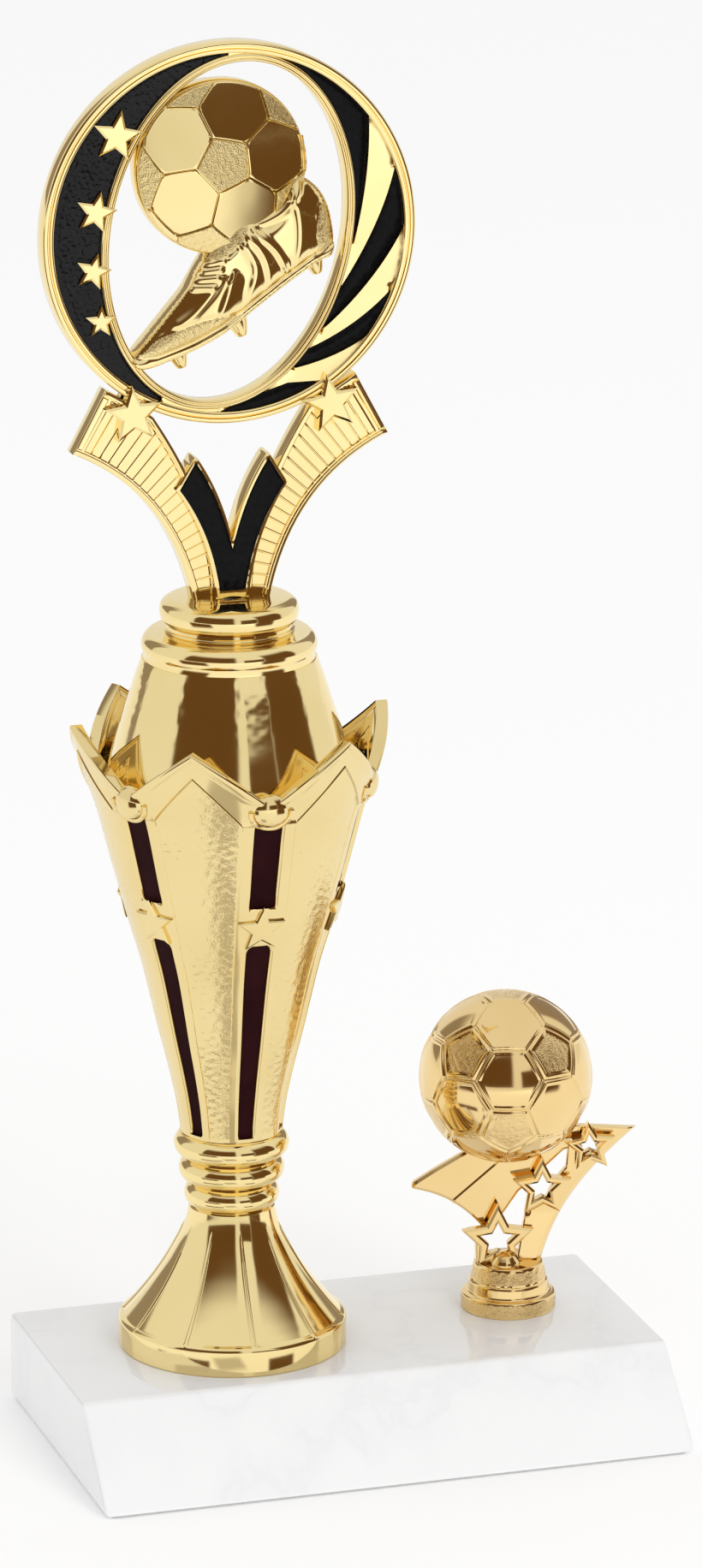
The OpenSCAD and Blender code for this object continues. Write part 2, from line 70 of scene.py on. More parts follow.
COLUMN = cad_centre("foot")[:2]
BASE_TOP = cad_box("marble_base")[1][2]
FOOT_TOP = cad_box("foot")[1][2]
CUP_BOTTOM = cad_box("cup_shell")[0][2]
DOME_SEAT, DOME_TOP = cad_box("crown_dome")[0][2], cad_box("crown_dome")[1][2]
CAP_TOP = cad_box("riser_cap")[1][2]
PLINTH_TOP = cad_box("figure_plinth")[1][2]
RING = cad_centre("ring_frame")
TRIM = cad_centre("trim_pedestal")[:2]
TRIM_DECK = cad_box("trim_pedestal")[1][2]
TRIM_BALL = cad_centre("trim_ball")
ROD_HOLE = 3.525  # radius of the bore that the rod runs in


# ---- Curves and outlines ------------------------------------------------------------------------

def curve(a, b, c, n=12):
    """Points along a quadratic Bezier curve from a to c, pulled towards b."""
    t = np.linspace(0, 1, n + 1)[:, None]
    a, b, c = (np.asarray(p, float) for p in (a, b, c))
    return (1 - t) ** 2 * a + 2 * t * (1 - t) * b + t * t * c


def spline(points, n=6, closed=False):
    """Catmull-Rom curve through the points, n steps between neighbours."""
    p = np.asarray(points, float)
    count = len(p)
    out = []
    for i in range(count if closed else count - 1):
        if closed:
            a, b, c, d = (p[(i + k) % count] for k in (-1, 0, 1, 2))
        else:
            a, b, c, d = (p[min(max(i + k, 0), count - 1)] for k in (-1, 0, 1, 2))
        for t in np.arange(n) / n:
            out.append(0.5 * (2 * b + (c - a) * t + (2 * a - 5 * b + 4 * c - d) * t * t
                              + (3 * b - 3 * c + d - a) * t ** 3))
    if not closed:
        out.append(p[-1])
    return np.array(out)


def soften(points, radius, n=4, keep=150):
    """Rounds the corners of a closed outline that are sharper than keep degrees."""
    p = np.asarray(points, float)
    out = []
    for i in range(len(p)):
        a, b, c = p[i - 1], p[i], p[(i + 1) % len(p)]
        ab, cb = a - b, c - b
        la, lc = np.linalg.norm(ab), np.linalg.norm(cb)
        angle = math.degrees(math.acos(np.clip(ab @ cb / (la * lc), -1, 1)))
        if angle > keep:
            out.append(b)
            continue
        cut = min(radius, 0.45 * la, 0.45 * lc)
        out.extend(curve(b + ab / la * cut, b, b + cb / lc * cut, n))
    return np.array(out)


def ellipse(a, b, lean, centre=(0, 0), n=180):
    """Outline with half lengths a (upright, leaning right by lean degrees) and b."""
    t = np.linspace(0, 2 * math.pi, n, endpoint=False)
    s, c = math.sin(math.radians(lean)), math.cos(math.radians(lean))
    return np.stack([centre[0] + a * s * np.cos(t) + b * c * np.sin(t),
                     centre[1] + a * c * np.cos(t) - b * s * np.sin(t)], 1)


def circle(r, centre=(0, 0), n=180):
    """Round outline."""
    return ellipse(r, r, 0, centre, n)


def star(r, turn, centre=(0, 0), inner=0.44):
    """Ten corners of a star with a point at turn degrees; inner is the share of its inner corners."""
    a = np.radians(turn + 36 * np.arange(10))
    q = np.where(np.arange(10) % 2 == 0, r, r * inner)
    return np.stack([centre[0] + q * np.cos(a), centre[1] + q * np.sin(a)], 1)


def mirrored(points):
    """Points of an outline on the other side of the middle."""
    return np.asarray(points) * [-1, 1]


def left_normals(line, closed):
    """Unit normals on the left of a line, at each of its points."""
    if closed:
        along = np.roll(line, -1, 0) - np.roll(line, 1, 0)
    else:
        along = np.gradient(line, axis=0)
    length = np.maximum(np.linalg.norm(along, axis=1), 1e-9)[:, None]
    return np.stack([-along[:, 1], along[:, 0]], 1) / length


def round_axis(centre, r, a, z):
    """Points at radius r and azimuth a (0 faces the front) about a vertical axis."""
    x, y = centre[0] + r * np.sin(a), centre[1] - r * np.cos(a)
    return np.stack(np.broadcast_arrays(x, y, z), -1)


def from_axis(points, centre):
    """Unit directions away from a vertical axis, and the distances from it."""
    off = (points - [centre[0], centre[1], 0]) * [1, 1, 0]
    reach = np.linalg.norm(off, axis=1)
    return off / np.maximum(reach, 1e-9)[:, None], reach


def direction(azimuth, elevation):
    """Unit direction towards an azimuth (0 faces the front) and an elevation in degrees."""
    a, e = math.radians(azimuth), math.radians(elevation)
    return np.array([math.sin(a) * math.cos(e), -math.cos(a) * math.cos(e), math.sin(e)])


def ball_grid(low, high, rows, around):
    """Latitudes and longitudes of a grid of rows times around points on a ball."""
    longitudes = np.linspace(0, 2 * math.pi, around, endpoint=False)
    return np.meshgrid(np.radians(np.linspace(low, high, rows)), longitudes, indexing="ij")


def bell(x, width):
    """Round bump of height 1 at x = 0."""
    return np.exp(-(x / width) ** 2)


def resample(loop, spacing):
    """Adds points along a closed outline so that no step is longer than spacing."""
    out = []
    for i in range(len(loop)):
        a, b = loop[i], loop[(i + 1) % len(loop)]
        steps = max(1, math.ceil(np.linalg.norm(b - a) / spacing))
        out.extend(a + (b - a) * k / steps for k in range(steps))
    return np.array(out)


def inside(points, loops):
    """Even-odd test of each point against the outlines."""
    x, y = points[:, 0:1], points[:, 1:2]
    odd = np.zeros(len(points), bool)
    for loop in loops:
        a, b = loop, np.roll(loop, -1, 0)
        crosses = (a[:, 1] > y) != (b[:, 1] > y)
        rise = np.where(b[:, 1] == a[:, 1], 1e-12, b[:, 1] - a[:, 1])
        hit = crosses & (x < (b[:, 0] - a[:, 0]) * (y - a[:, 1]) / rise + a[:, 0])
        odd ^= hit.sum(1) % 2 == 1
    return odd


def line_distance(points, line, closed=False):
    """Distance of each point to a polyline."""
    line = np.asarray(line, float)
    a = line if closed else line[:-1]
    b = np.roll(line, -1, 0) if closed else line[1:]
    ab = b - a
    best = np.full(len(points), 1e9)
    for start in range(0, len(points), 4000):
        p = points[start:start + 4000, None]
        t = np.clip(((p - a) * ab).sum(-1) / np.maximum((ab * ab).sum(-1), 1e-12), 0, 1)
        best[start:start + 4000] = np.linalg.norm(p - (a + ab * t[..., None]), axis=-1).min(1)
    return best


def outline_distance(points, loops):
    """Distance of each point to the nearest of closed outlines."""
    return np.min([line_distance(points, loop, True) for loop in loops], axis=0)


def smooth_step(lo, hi, x):
    """Eases from 0 at lo to 1 at hi."""
    t = np.clip((x - lo) / (hi - lo), 0, 1)
    return t * t * (3 - 2 * t)


def pebbles(points, size, seed, waves=14):
    """Seeded bumpy noise of about the given grain size, between -1 and 1."""
    rng = np.random.default_rng(seed)
    points = np.asarray(points, float)
    total = np.zeros(len(points))
    for _ in range(waves):
        k = rng.normal(size=points.shape[1])
        k *= 2 * math.pi / (size * rng.uniform(1.2, 2.6)) / np.linalg.norm(k)
        total += np.sin(points @ k + rng.uniform(0, 2 * math.pi))
    return np.clip(total / math.sqrt(waves), -1.6, 1.6) / 1.6


# ---- Mesh makers --------------------------------------------------------------------------------

def mesh_object(name, points, faces, materials, face_slots=None, sharp=38):
    """A mesh piece from points in millimetres. face_slots picks a material for each face."""
    mesh = bpy.data.meshes.new(name)
    mesh.from_pydata((np.asarray(points, float) * MM).tolist(), [], [list(map(int, f)) for f in faces])
    for material in materials:
        mesh.materials.append(material)
    if face_slots is not None:
        mesh.polygons.foreach_set("material_index", np.asarray(face_slots, np.int32))
    mesh.polygons.foreach_set("use_smooth", np.ones(len(mesh.polygons), bool))
    mesh.set_sharp_from_angle(angle=math.radians(sharp))
    mesh.validate()
    mesh.update()
    piece = bpy.data.objects.new(name, mesh)
    bpy.context.scene.collection.objects.link(piece)
    return piece


def grid_faces(rows, columns, wrap_rows=False, wrap_columns=True):
    """Quads of a grid of rows times columns points."""
    i = np.arange(rows if wrap_rows else rows - 1)[:, None]
    j = np.arange(columns if wrap_columns else columns - 1)[None]
    here, above = i * columns, (i + 1) % rows * columns
    j2 = (j + 1) % columns
    return np.stack(np.broadcast_arrays(here + j, here + j2, above + j2, above + j), -1).reshape(-1, 4)


def tube_faces(rows, columns):
    """Faces of a tube of rows times columns points, closed by a cap at each end."""
    last = (rows - 1) * columns
    caps = [tuple(range(columns))[::-1], tuple(range(last, last + columns))]
    return [tuple(f) for f in grid_faces(rows, columns)] + caps


def lathe(profile, centre, z, segments=128):
    """Points and faces of a closed profile of (radius, height) turned about a vertical axis."""
    profile = np.asarray(profile, float)
    a = np.linspace(0, 2 * math.pi, segments, endpoint=False)
    points = round_axis(centre, profile[:, 0:1], a, z + profile[:, 1:2])
    return points.reshape(-1, 3), grid_faces(len(profile), segments, wrap_rows=True)


def sweep(path, profile):
    """Points (u, w, d) and faces of a closed profile of (outward, depth) carried round a closed outline."""
    path, profile = np.asarray(path, float), np.asarray(profile, float)
    normal = left_normals(path, True)
    if ((path - path.mean(0)) * normal).sum() < 0:
        normal = -normal
    uw = path[None] + normal[None] * profile[:, None, 0:1]
    d = np.broadcast_to(profile[:, None, 1:2], uw.shape[:2] + (1,))
    points = np.concatenate([uw, d], -1).reshape(-1, 3)
    return points, grid_faces(len(profile), len(path), wrap_rows=True)


def offset_rows(line, distance, closed):
    """Points beside a line at the distance, on both sides."""
    aside = left_normals(line, closed) * distance
    return np.concatenate([line + aside, line - aside])


RIM_CLEARANCE = 0.15  # a crease stays this far from the outline
ROW_SHARE = 0.93      # a row's point is dropped where it comes nearer than this share of its distance


def fill(loops, spacing, rings=(), jitter=0.18, seed=1, lines=(), beside=0.0):
    """Triangles that fill outlines with even points inside.

    rings are distances of extra rows by the outline. lines are open creases that the triangles follow, with
    a row of points on each side of them at the distance beside. Returns the points, the triangles, the
    indices of each outline's points and the outlines.
    """
    loops = [resample(np.asarray(loop, float), spacing) for loop in loops]
    border = np.concatenate(loops)
    edges, start = [], 0
    for loop in loops:
        n = len(loop)
        edges += [(start + i, start + (i + 1) % n) for i in range(n)]
        start += n

    def clear(spots, distance):
        good = inside(spots, loops)
        good[good] = outline_distance(spots[good], loops) > distance
        return good

    extra, creases = [border], []
    for line in lines:
        line = np.asarray(line, float)
        if len(line) > 2:
            line = resample(line, spacing * 0.8)[:-1]
        good = clear(line, RIM_CLEARANCE)
        creases.append(line[good])
        ids = start + np.cumsum(good) - 1
        edges += [(ids[i], ids[i + 1]) for i in range(len(line) - 1) if good[i] and good[i + 1]]
        start += int(good.sum())
        extra.append(line[good])
    creases = [line for line in creases if len(line) > 1]
    for distance in rings:
        for loop in loops:
            moved = offset_rows(loop, distance, True)
            good = clear(moved, ROW_SHARE * distance)
            for line in creases:
                good[good] = line_distance(moved[good], line) > 1.4 * beside
            extra.append(moved[good])
    for line in creases if beside else []:
        moved = offset_rows(line, beside, False)
        good = clear(moved, RIM_CLEARANCE)
        for other in creases:
            good[good] = line_distance(moved[good], other) > ROW_SHARE * beside
        extra.append(moved[good])
    field = lattice(border, spacing, jitter, seed)
    field = field[inside(field, loops)]
    if len(field):
        field = field[outline_distance(field, loops) > max(rings, default=0) + 0.6 * spacing]
    for line in creases:
        field = field[line_distance(field, line) > beside + 0.5 * spacing]
    points = np.concatenate(extra + [field])
    out = delaunay_2d_cdt([Vector(p) for p in points], edges, [], 0, 1e-5)
    flat = np.array([tuple(p) for p in out[0]])
    tris = np.array([t for t in out[2] if len(t) == 3])
    tris = tris[inside(flat[tris].mean(1), loops)]
    where = {old: new for new, olds in enumerate(out[3]) for old in olds}
    loop_ids, start = [], 0
    for loop in loops:
        loop_ids.append([where[start + i] for i in range(len(loop))])
        start += len(loop)
    a, b, c = (flat[tris[:, k]] for k in range(3))
    turned = (b[:, 0] - a[:, 0]) * (c[:, 1] - a[:, 1]) - (b[:, 1] - a[:, 1]) * (c[:, 0] - a[:, 0]) < 0
    tris[turned] = tris[turned][:, ::-1]
    return flat, tris, loop_ids, loops


def lattice(border, spacing, jitter, seed):
    """Even triangular field of points over the box of an outline, each moved a little at random."""
    lo, hi = border.min(0), border.max(0)
    rng = np.random.default_rng(seed)
    step = np.array([spacing, spacing * 0.87])
    gx, gy = np.meshgrid(np.arange(lo[0], hi[0], step[0]), np.arange(lo[1], hi[1], step[1]))
    gx[1::2] += step[0] / 2
    field = np.stack([gx.ravel(), gy.ravel()], 1)
    return field + rng.uniform(-jitter, jitter, field.shape) * spacing


def plate(filled, front, back):
    """A closed solid over a fill: front and back are the depths of its two faces at each point."""
    flat, tris, loop_ids, _ = filled
    n = len(flat)
    front, back = np.broadcast_to(front, n), np.broadcast_to(back, n)
    points = np.concatenate([np.column_stack([flat, front]), np.column_stack([flat, back])])
    faces = [tuple(t) for t in tris] + [tuple(t[::-1] + n) for t in tris]
    for ids in loop_ids:
        ring = flat[ids]
        area = np.sum(ring[:, 0] * np.roll(ring[:, 1], -1) - np.roll(ring[:, 0], -1) * ring[:, 1])
        outer = len(loop_ids) == 1 or ids is loop_ids[0]
        forward = (area > 0) == outer
        for i in range(len(ids)):
            a, b = ids[i], ids[(i + 1) % len(ids)]
            if not forward:
                a, b = b, a
            faces.append((b, a, a + n, b + n))
    return points, faces


def join(*parts):
    """One list of points and faces from several."""
    points, faces, start = [], [], 0
    for p, f in parts:
        points.append(np.asarray(p, float))
        faces += [tuple(int(i) + start for i in face) for face in f]
        start += len(p)
    return np.concatenate(points), faces


def both_sides(part):
    """A part (u, w, d) and its mirror image behind the plane."""
    points, faces = part
    back = np.asarray(points) * [1, 1, -1]
    return join((points, faces), (back, [tuple(f)[::-1] for f in faces]))


def in_figure_plane(part, z=0.0):
    """A part of the figure plane in the row frame."""
    p = np.asarray(part[0], float)
    return np.column_stack([COLUMN[0] + p[:, 0], COLUMN[1] - p[:, 2], z + p[:, 1]]), part[1]


def in_ring_plane(part):
    """A part drawn about the middle of the ring, in the row frame."""
    return in_figure_plane(part, RING[2])


TRIM_TURN = math.radians(-12)


def in_trim_plane(part):
    """A part of the trim plane in the row frame."""
    p = np.asarray(part[0], float)
    s, c = math.sin(TRIM_TURN), math.cos(TRIM_TURN)
    x, y = TRIM[0] + p[:, 0] * c + p[:, 2] * s, TRIM[1] + p[:, 0] * s - p[:, 2] * c
    return np.column_stack([x, y, p[:, 1]]), part[1]


# ---- Materials ----------------------------------------------------------------------------------

def material(name):
    """A new node material with its Principled shader."""
    made = bpy.data.materials.new(name)
    made.use_nodes = True
    return made, made.node_tree.nodes, made.node_tree.links, made.node_tree.nodes["Principled BSDF"]


def set_inputs(node, **values):
    """Sets sockets by their names, with _ for each space."""
    for name, value in values.items():
        node.inputs[name.replace("_", " ")].default_value = value


def bump(nodes, links, shader, height, strength, distance):
    """Relief of the shader's normal from a height."""
    node = nodes.new("ShaderNodeBump")
    set_inputs(node, Strength=strength, Distance=distance)
    links.new(height, node.inputs["Height"])
    links.new(node.outputs["Normal"], shader.inputs["Normal"])


def noise(nodes, links, coordinates, scale, detail=3.0, roughness=0.5):
    """Noise node at the coordinates."""
    node = nodes.new("ShaderNodeTexNoise")
    set_inputs(node, Scale=scale, Detail=detail, Roughness=roughness)
    links.new(coordinates, node.inputs["Vector"])
    return node


def ramp(nodes, links, shader, value, stops):
    """Base colour of the shader from stops of (value, colour)."""
    node = nodes.new("ShaderNodeValToRGB")
    elements = node.color_ramp.elements
    while len(elements) < len(stops):
        elements.new(0.5)
    for element, (position, colour) in zip(elements, stops):
        element.position = position
        element.color = (*colour, 1)
    links.new(value, node.inputs["Fac"])
    links.new(node.outputs["Color"], shader.inputs["Base Color"])


def coloured(name, scale, detail, roughness, stops):
    """A material coloured by a noise: its parts, the object coordinates and the noise."""
    made, nodes, links, shader = material(name)
    where = nodes.new("ShaderNodeTexCoord").outputs["Object"]
    tone = noise(nodes, links, where, scale, detail, roughness).outputs["Fac"]
    ramp(nodes, links, shader, tone, stops)
    return made, nodes, links, shader, where, tone


GOLD_PALE = (0.97, 0.79, 0.39)
GOLD_DEEP = (0.93, 0.74, 0.34)


def gold_material(name, roughness, grain=0.0, grain_size=1.0, tint=(1.0, 1.0, 1.0)):
    """Vacuum plated plastic: mirror gold over pebbles, or over faint ripples of the moulding."""
    deep, pale = (tuple(c * t for c, t in zip(tone, tint)) for tone in (GOLD_DEEP, GOLD_PALE))
    made, nodes, links, shader, where, _ = coloured(name, 45, 2, 0.5, [(0.3, deep), (0.62, pale)])
    set_inputs(shader, Metallic=1.0)
    smear = noise(nodes, links, where, 260, 4, 0.6)
    rough = nodes.new("ShaderNodeMapRange")
    set_inputs(rough, To_Min=roughness * 0.7, To_Max=roughness * 1.4)
    links.new(smear.outputs["Fac"], rough.inputs["Value"])
    links.new(rough.outputs["Result"], shader.inputs["Roughness"])
    if grain:
        pits = noise(nodes, links, where, 1 / (grain_size * MM), 2, 0.55)
        bump(nodes, links, shader, pits.outputs["Fac"], grain, 0.00035)
    else:
        ripple = noise(nodes, links, where, 90, 1)
        bump(nodes, links, shader, ripple.outputs["Fac"], 0.05, 0.001)
    return made


def black_material(name, roughness, sheen, grain=0.12):
    """Black fill with tiny dust specks in its sheen."""
    stops = [(0.35, (0.002, 0.002, 0.0025)), (0.8, (0.005, 0.005, 0.005))]
    made, nodes, links, shader, _, tone = coloured(name, 900, 2, 0.5, stops)
    set_inputs(shader, Roughness=roughness, Specular_IOR_Level=sheen)
    bump(nodes, links, shader, tone, grain, 0.0004)
    return made


def liner_material():
    """Dull maroon lining."""
    stops = [(0.3, (0.016, 0.002, 0.003)), (0.7, (0.026, 0.004, 0.005))]
    made, _, _, shader, _, _ = coloured("maroon_liner", 120, 2, 0.5, stops)
    set_inputs(shader, Specular_IOR_Level=0.05, Roughness=0.6)
    return made


def marble_material():
    """Polished white marble with thin, soft grey veins where a bent noise crosses its middle."""
    made, nodes, links, shader = material("white_marble")
    where = nodes.new("ShaderNodeTexCoord").outputs["Object"]
    shift = nodes.new("ShaderNodeVectorMath")
    shift.operation = "MULTIPLY_ADD"
    shift.inputs[1].default_value = (0.03, 0.03, 0.03)
    links.new(noise(nodes, links, where, 14, 4, 0.6).outputs["Color"], shift.inputs[0])
    links.new(where, shift.inputs[2])
    cloud = noise(nodes, links, shift.outputs["Vector"], 22, 5, 0.55)
    centred = nodes.new("ShaderNodeMath")
    centred.operation = "SUBTRACT"
    centred.inputs[1].default_value = 0.5
    links.new(cloud.outputs["Fac"], centred.inputs[0])
    vein = nodes.new("ShaderNodeMath")
    vein.operation = "ABSOLUTE"
    links.new(centred.outputs["Value"], vein.inputs[0])
    stops = [(0.0, (0.845, 0.845, 0.85)), (0.02, (0.87, 0.87, 0.875)), (0.09, (0.89, 0.89, 0.892))]
    ramp(nodes, links, shader, vein.outputs["Value"], stops)
    set_inputs(shader, Roughness=0.05)
    return made


def felt_material():
    """Grey felt with a fuzzy nap."""
    stops = [(0.3, (0.50, 0.50, 0.49)), (0.7, (0.66, 0.66, 0.65))]
    made, nodes, links, shader, _, fuzz = coloured("felt", 2600, 3, 0.7, stops)
    set_inputs(shader, Roughness=0.95, Sheen_Weight=0.4)
    bump(nodes, links, shader, fuzz, 0.5, 0.0003)
    return made


def metal_material(name, colour, roughness):
    """Turned or plated fastener metal with fine machining marks."""
    stops = [(0.3, tuple(c * 0.7 for c in colour)), (0.7, colour)]
    made, nodes, links, shader, _, marks = coloured(name, 700, 3, 0.6, stops)
    set_inputs(shader, Metallic=1.0, Roughness=roughness)
    bump(nodes, links, shader, marks, 0.15, 0.0002)
    return made


CUP_TINT = (0.91, 0.9, 0.9)
TRIM_TINT = (0.96, 0.88, 0.86)

gold = gold_material("gold_plate", 0.08)
gold_pebbled = gold_material("gold_pebbled", 0.14, grain=0.5, grain_size=0.3)
gold_cup = gold_material("gold_cup", 0.08, tint=CUP_TINT)
gold_hammered = gold_material("gold_hammered", 0.12, grain=0.2, grain_size=0.5, tint=CUP_TINT)
gold_trim = gold_material("gold_trim", 0.09, tint=TRIM_TINT)
gold_trim_pebbled = gold_material("gold_trim_pebbled", 0.14, grain=0.5, grain_size=0.3, tint=TRIM_TINT)
black = black_material("black_fill", 0.25, 0.1)
black_pebbled = black_material("black_pebbled", 0.18, 0.24, 0.4)
maroon = liner_material()
marble = marble_material()
felt = felt_material()
steel = metal_material("zinc_steel", (0.72, 0.73, 0.75), 0.3)
brass = metal_material("turned_brass", (0.78, 0.58, 0.26), 0.28)


def place(piece, slot, *nodes):
    """Makes a piece part of the object, in place of the CAD nodes it stands for."""
    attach(piece, ROOT)
    if nodes:
        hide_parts(*nodes)


def add(name, part, looks, *nodes, slot="gold_plating", sharp=38, face_slots=None):
    """Makes a placed piece of a part's points and faces."""
    points, faces = part
    place(mesh_object(name, points, faces, looks, face_slots, sharp=sharp), slot, *nodes)


# ---- Base ---------------------------------------------------------------------------------------

SLAB_SETBACK = 18.4  # how far the top edge of the slanted front stands back
SLAB_BEVEL = [(0.0, 0.9), (0.12, 0.5), (0.42, 0.15), (0.95, 0.0)]  # (inwards from an end, section's shrink)


def make_marble_base():
    """Slab with a slanted front and softly rounded edges."""
    lo, hi = cad_box("marble_base")
    section = soften([(lo[1], lo[2]), (hi[1], lo[2]), (hi[1], hi[2]), (lo[1] + SLAB_SETBACK, hi[2])], 1.1, 5)
    towards = section.mean(0) - section
    rows = []
    for end, way, steps in ((lo[0], 1, SLAB_BEVEL), (hi[0], -1, SLAB_BEVEL[::-1])):
        for inwards, shrink in steps:
            shrunk = section + towards / np.abs(towards).max(0) * shrink
            rows.append(np.column_stack([np.full(len(section), end + way * inwards), shrunk]))
    part = np.concatenate(rows), tube_faces(len(rows), len(section))
    add("marble_slab", part, [marble], "marble_base", slot="marble", sharp=30)


def make_felt():
    """Thin sheet with rounded corners under the slab."""
    lo, hi = cad_box("felt_pad")
    outline = soften([(lo[0], lo[1]), (hi[0], lo[1]), (hi[0], hi[1]), (lo[0], hi[1])], 2.0, 6)
    add("felt_sheet", plate(fill([outline], 4.0), hi[2], lo[2]), [felt], "felt_pad", slot="felt")


# ---- Riser --------------------------------------------------------------------------------------

FOOT_RIDGES = 10
FOOT_START = -5.2  # azimuth of the first ridge
RIDGE_TOP = 27.0   # height over the slab where the ridges begin
RIDGE_LIFT = [0.26, 0.25, 0.2, 0.11]  # height of a ridge from its middle to its side


def foot_outline():
    """Outer line of the foot from the slab to the neck: band, rounded shoulder and flare."""
    lo, hi = cad_box("foot")
    r = (hi[0] - lo[0]) / 2
    band = [(r - 0.35, 0.0), (r, 0.35), (r, 5.3), (r - 0.12, 5.8), (r - 0.5, 6.2), (r - 1.0, 6.45)]
    flare = spline([(r - 1.15, 6.5), (21.3, 8.1), (19.2, 10.6), (16.6, 14.0), (14.4, 17.3), (12.6, 20.4),
                    (10.9, 23.6), (10.0, 25.8), (9.4, 28.0), (9.0, FOOT_TOP - BASE_TOP)], 7)
    return np.array(band), flare


def foot_profile(band, flare):
    """Closed section of the foot: its outer line and the hollow with the rod's bore."""
    wall = 1.6
    top = FOOT_TOP - BASE_TOP
    inner = np.array([(max(r - wall, ROD_HOLE), z - wall * 0.6) for r, z in flare[::-6]])
    inner = inner[inner[:, 1] < top - wall - 1]
    foot = [(band[-1][0] - wall, band[-1][1] - 1.2), (band[0][0] - wall, 0.0)]
    return np.concatenate([band, flare, [(ROD_HOLE, top), (ROD_HOLE, top - wall)], inner, foot])


def make_foot():
    """Flared foot with narrow ridges that widen towards the band, hollow underneath."""
    band, flare = foot_outline()
    profile = foot_profile(band, flare)
    r, z = profile[:, 0:1], profile[:, 1:2]
    down = np.clip((RIDGE_TOP - z) / (RIDGE_TOP - 6.5), 0, 1)
    half = 0.1 + 0.3 * down
    pitch = 2 * math.pi / FOOT_RIDGES
    on_ridge = half * np.array([0, 0.45, 0.8, 1.0]) / np.maximum(r, 9)
    by_ridge = (half + np.array([0.18, 0.36, 0.62, 1.0])) / np.maximum(r, 9)
    between = by_ridge[:, -1:] + (pitch / 2 - by_ridge[:, -1:]) * np.linspace(0, 1, 14)[1:]
    side = np.concatenate([on_ridge, by_ridge, between], axis=1)
    lift = np.zeros(side.shape[1])
    lift[:4] = RIDGE_LIFT
    offsets = np.concatenate([-side[:, :0:-1], side[:, :-1]], axis=1)
    lifts = np.tile(np.concatenate([lift[:0:-1], lift[:-1]]), FOOT_RIDGES)
    starts = [math.radians(FOOT_START) + k * pitch for k in range(FOOT_RIDGES)]
    angle = np.concatenate([offsets + start for start in starts], axis=1)
    row = np.arange(len(profile))[:, None]
    on_flare = (row >= len(band) - 1) & (row < len(band) + len(flare))
    out = lifts * smooth_step(0, 0.12, down) * on_flare
    points = round_axis(COLUMN, r + 0.8 * out, angle, BASE_TOP + z + 0.6 * out)
    part = points.reshape(-1, 3), grid_faces(len(profile), angle.shape[1], wrap_rows=True)
    add("riser_foot", part, [gold], "foot", sharp=35)


def bead_arc(centre_r, centre_z, radius, n, low, high):
    """Arc of a section between two angles above the horizontal."""
    a = np.radians(np.linspace(low, high, n))
    return np.column_stack([centre_r + radius * np.cos(a), centre_z + radius * np.sin(a)])


def make_neck_beads():
    """Three beads that widen upwards, with a bore for the rod."""
    height = CUP_BOTTOM - FOOT_TOP
    bead = height / 3
    arcs = [bead_arc(r - bead / 2, bead * (i + 0.5), bead / 2 - 0.05, 12, -61, 61)
            for i, r in enumerate((10, 11.1, 12.1))]
    profile = np.concatenate([[(8.95, 0)]] + arcs + [[(10.8, height), (ROD_HOLE, height), (ROD_HOLE, 0)]])
    add("neck_bead_stack", lathe(profile, COLUMN, FOOT_TOP, 144), [gold], "neck_beads", sharp=60)


CUP_LINE = [(10.8, 0), (11.8, 7), (13.4, 14.4), (15.3, 22), (17, 29.4), (18.8, 36.9), (21, 44.2), (23, 51.6),
            (25, 59), (26.4, 64.4), (28.2, 71.2), (30.9, 79), (34.1, 89.8)]
PETALS = 6
PETAL_H, VALLEY_H = 89.8, 77.8          # height of the rim at a petal's middle and in a valley
PANEL_SHOULDER, PANEL_PEAK = 73.6, 84.4  # top of a panel at its side and at its middle
BEND_H = 66.0                           # rows are level below this height and follow the rim above it
STAR_H = 49.7
SLOT_LOW, SLOT_HIGH = (0.9, 45.9), (54.4, 73.6)
CUP_SPLINE = spline(CUP_LINE, 8)


def cup_radius(h):
    """Radius of the cup at a height over its foot."""
    return np.interp(h, CUP_SPLINE[:, 1], CUP_SPLINE[:, 0])


def beside_slots(h):
    """Whether heights lie along one of the two slots of a valley."""
    return ((h > SLOT_LOW[0]) & (h < SLOT_LOW[1])) | ((h > SLOT_HIGH[0]) & (h < SLOT_HIGH[1]))


def slot_half_width(h):
    """Half width of the slots, narrowed where the lower ones end in a round."""
    wide = np.interp(h, [0, 44.5, 54.5, 73.6], [1.5, 2.6, 2.65, 2.95])
    below = np.clip((h - (SLOT_LOW[1] - 2.0)) / 2.0, 0, 1) * (h <= SLOT_LOW[1] + 0.01)
    above = np.clip((SLOT_LOW[1] + 4 - h) / 4, 0, 1) * (h > SLOT_LOW[1])
    return wide * (1 - 0.5 * np.maximum(below, above) ** 2)


def strip_half_width(h):
    """Half width of the plain strip that the slots are cut in."""
    return np.interp(h, [0, 50, 74, 90], [3.4, 5.2, 5.8, 6.0])


def hammered(points, radius, seed=11, waves=18):
    """Seeded short ripples that lie across the petals, between -1 and 1."""
    rng = np.random.default_rng(seed)
    turn = np.arctan2(points[:, 0] - COLUMN[0], COLUMN[1] - points[:, 1])
    spots = np.column_stack([turn * radius, points[:, 2]])
    total = np.zeros(len(points))
    for _ in range(waves):
        way = rng.normal(size=2)
        way /= np.linalg.norm(way)
        k = way * [2 * math.pi / 2.2, 2 * math.pi / 1.3] / rng.uniform(0.8, 1.6)
        total += np.sin(spots @ k + rng.uniform(0, 2 * math.pi))
    total /= math.sqrt(waves)
    return np.clip(total, -1.5, 1.5) / 1.5


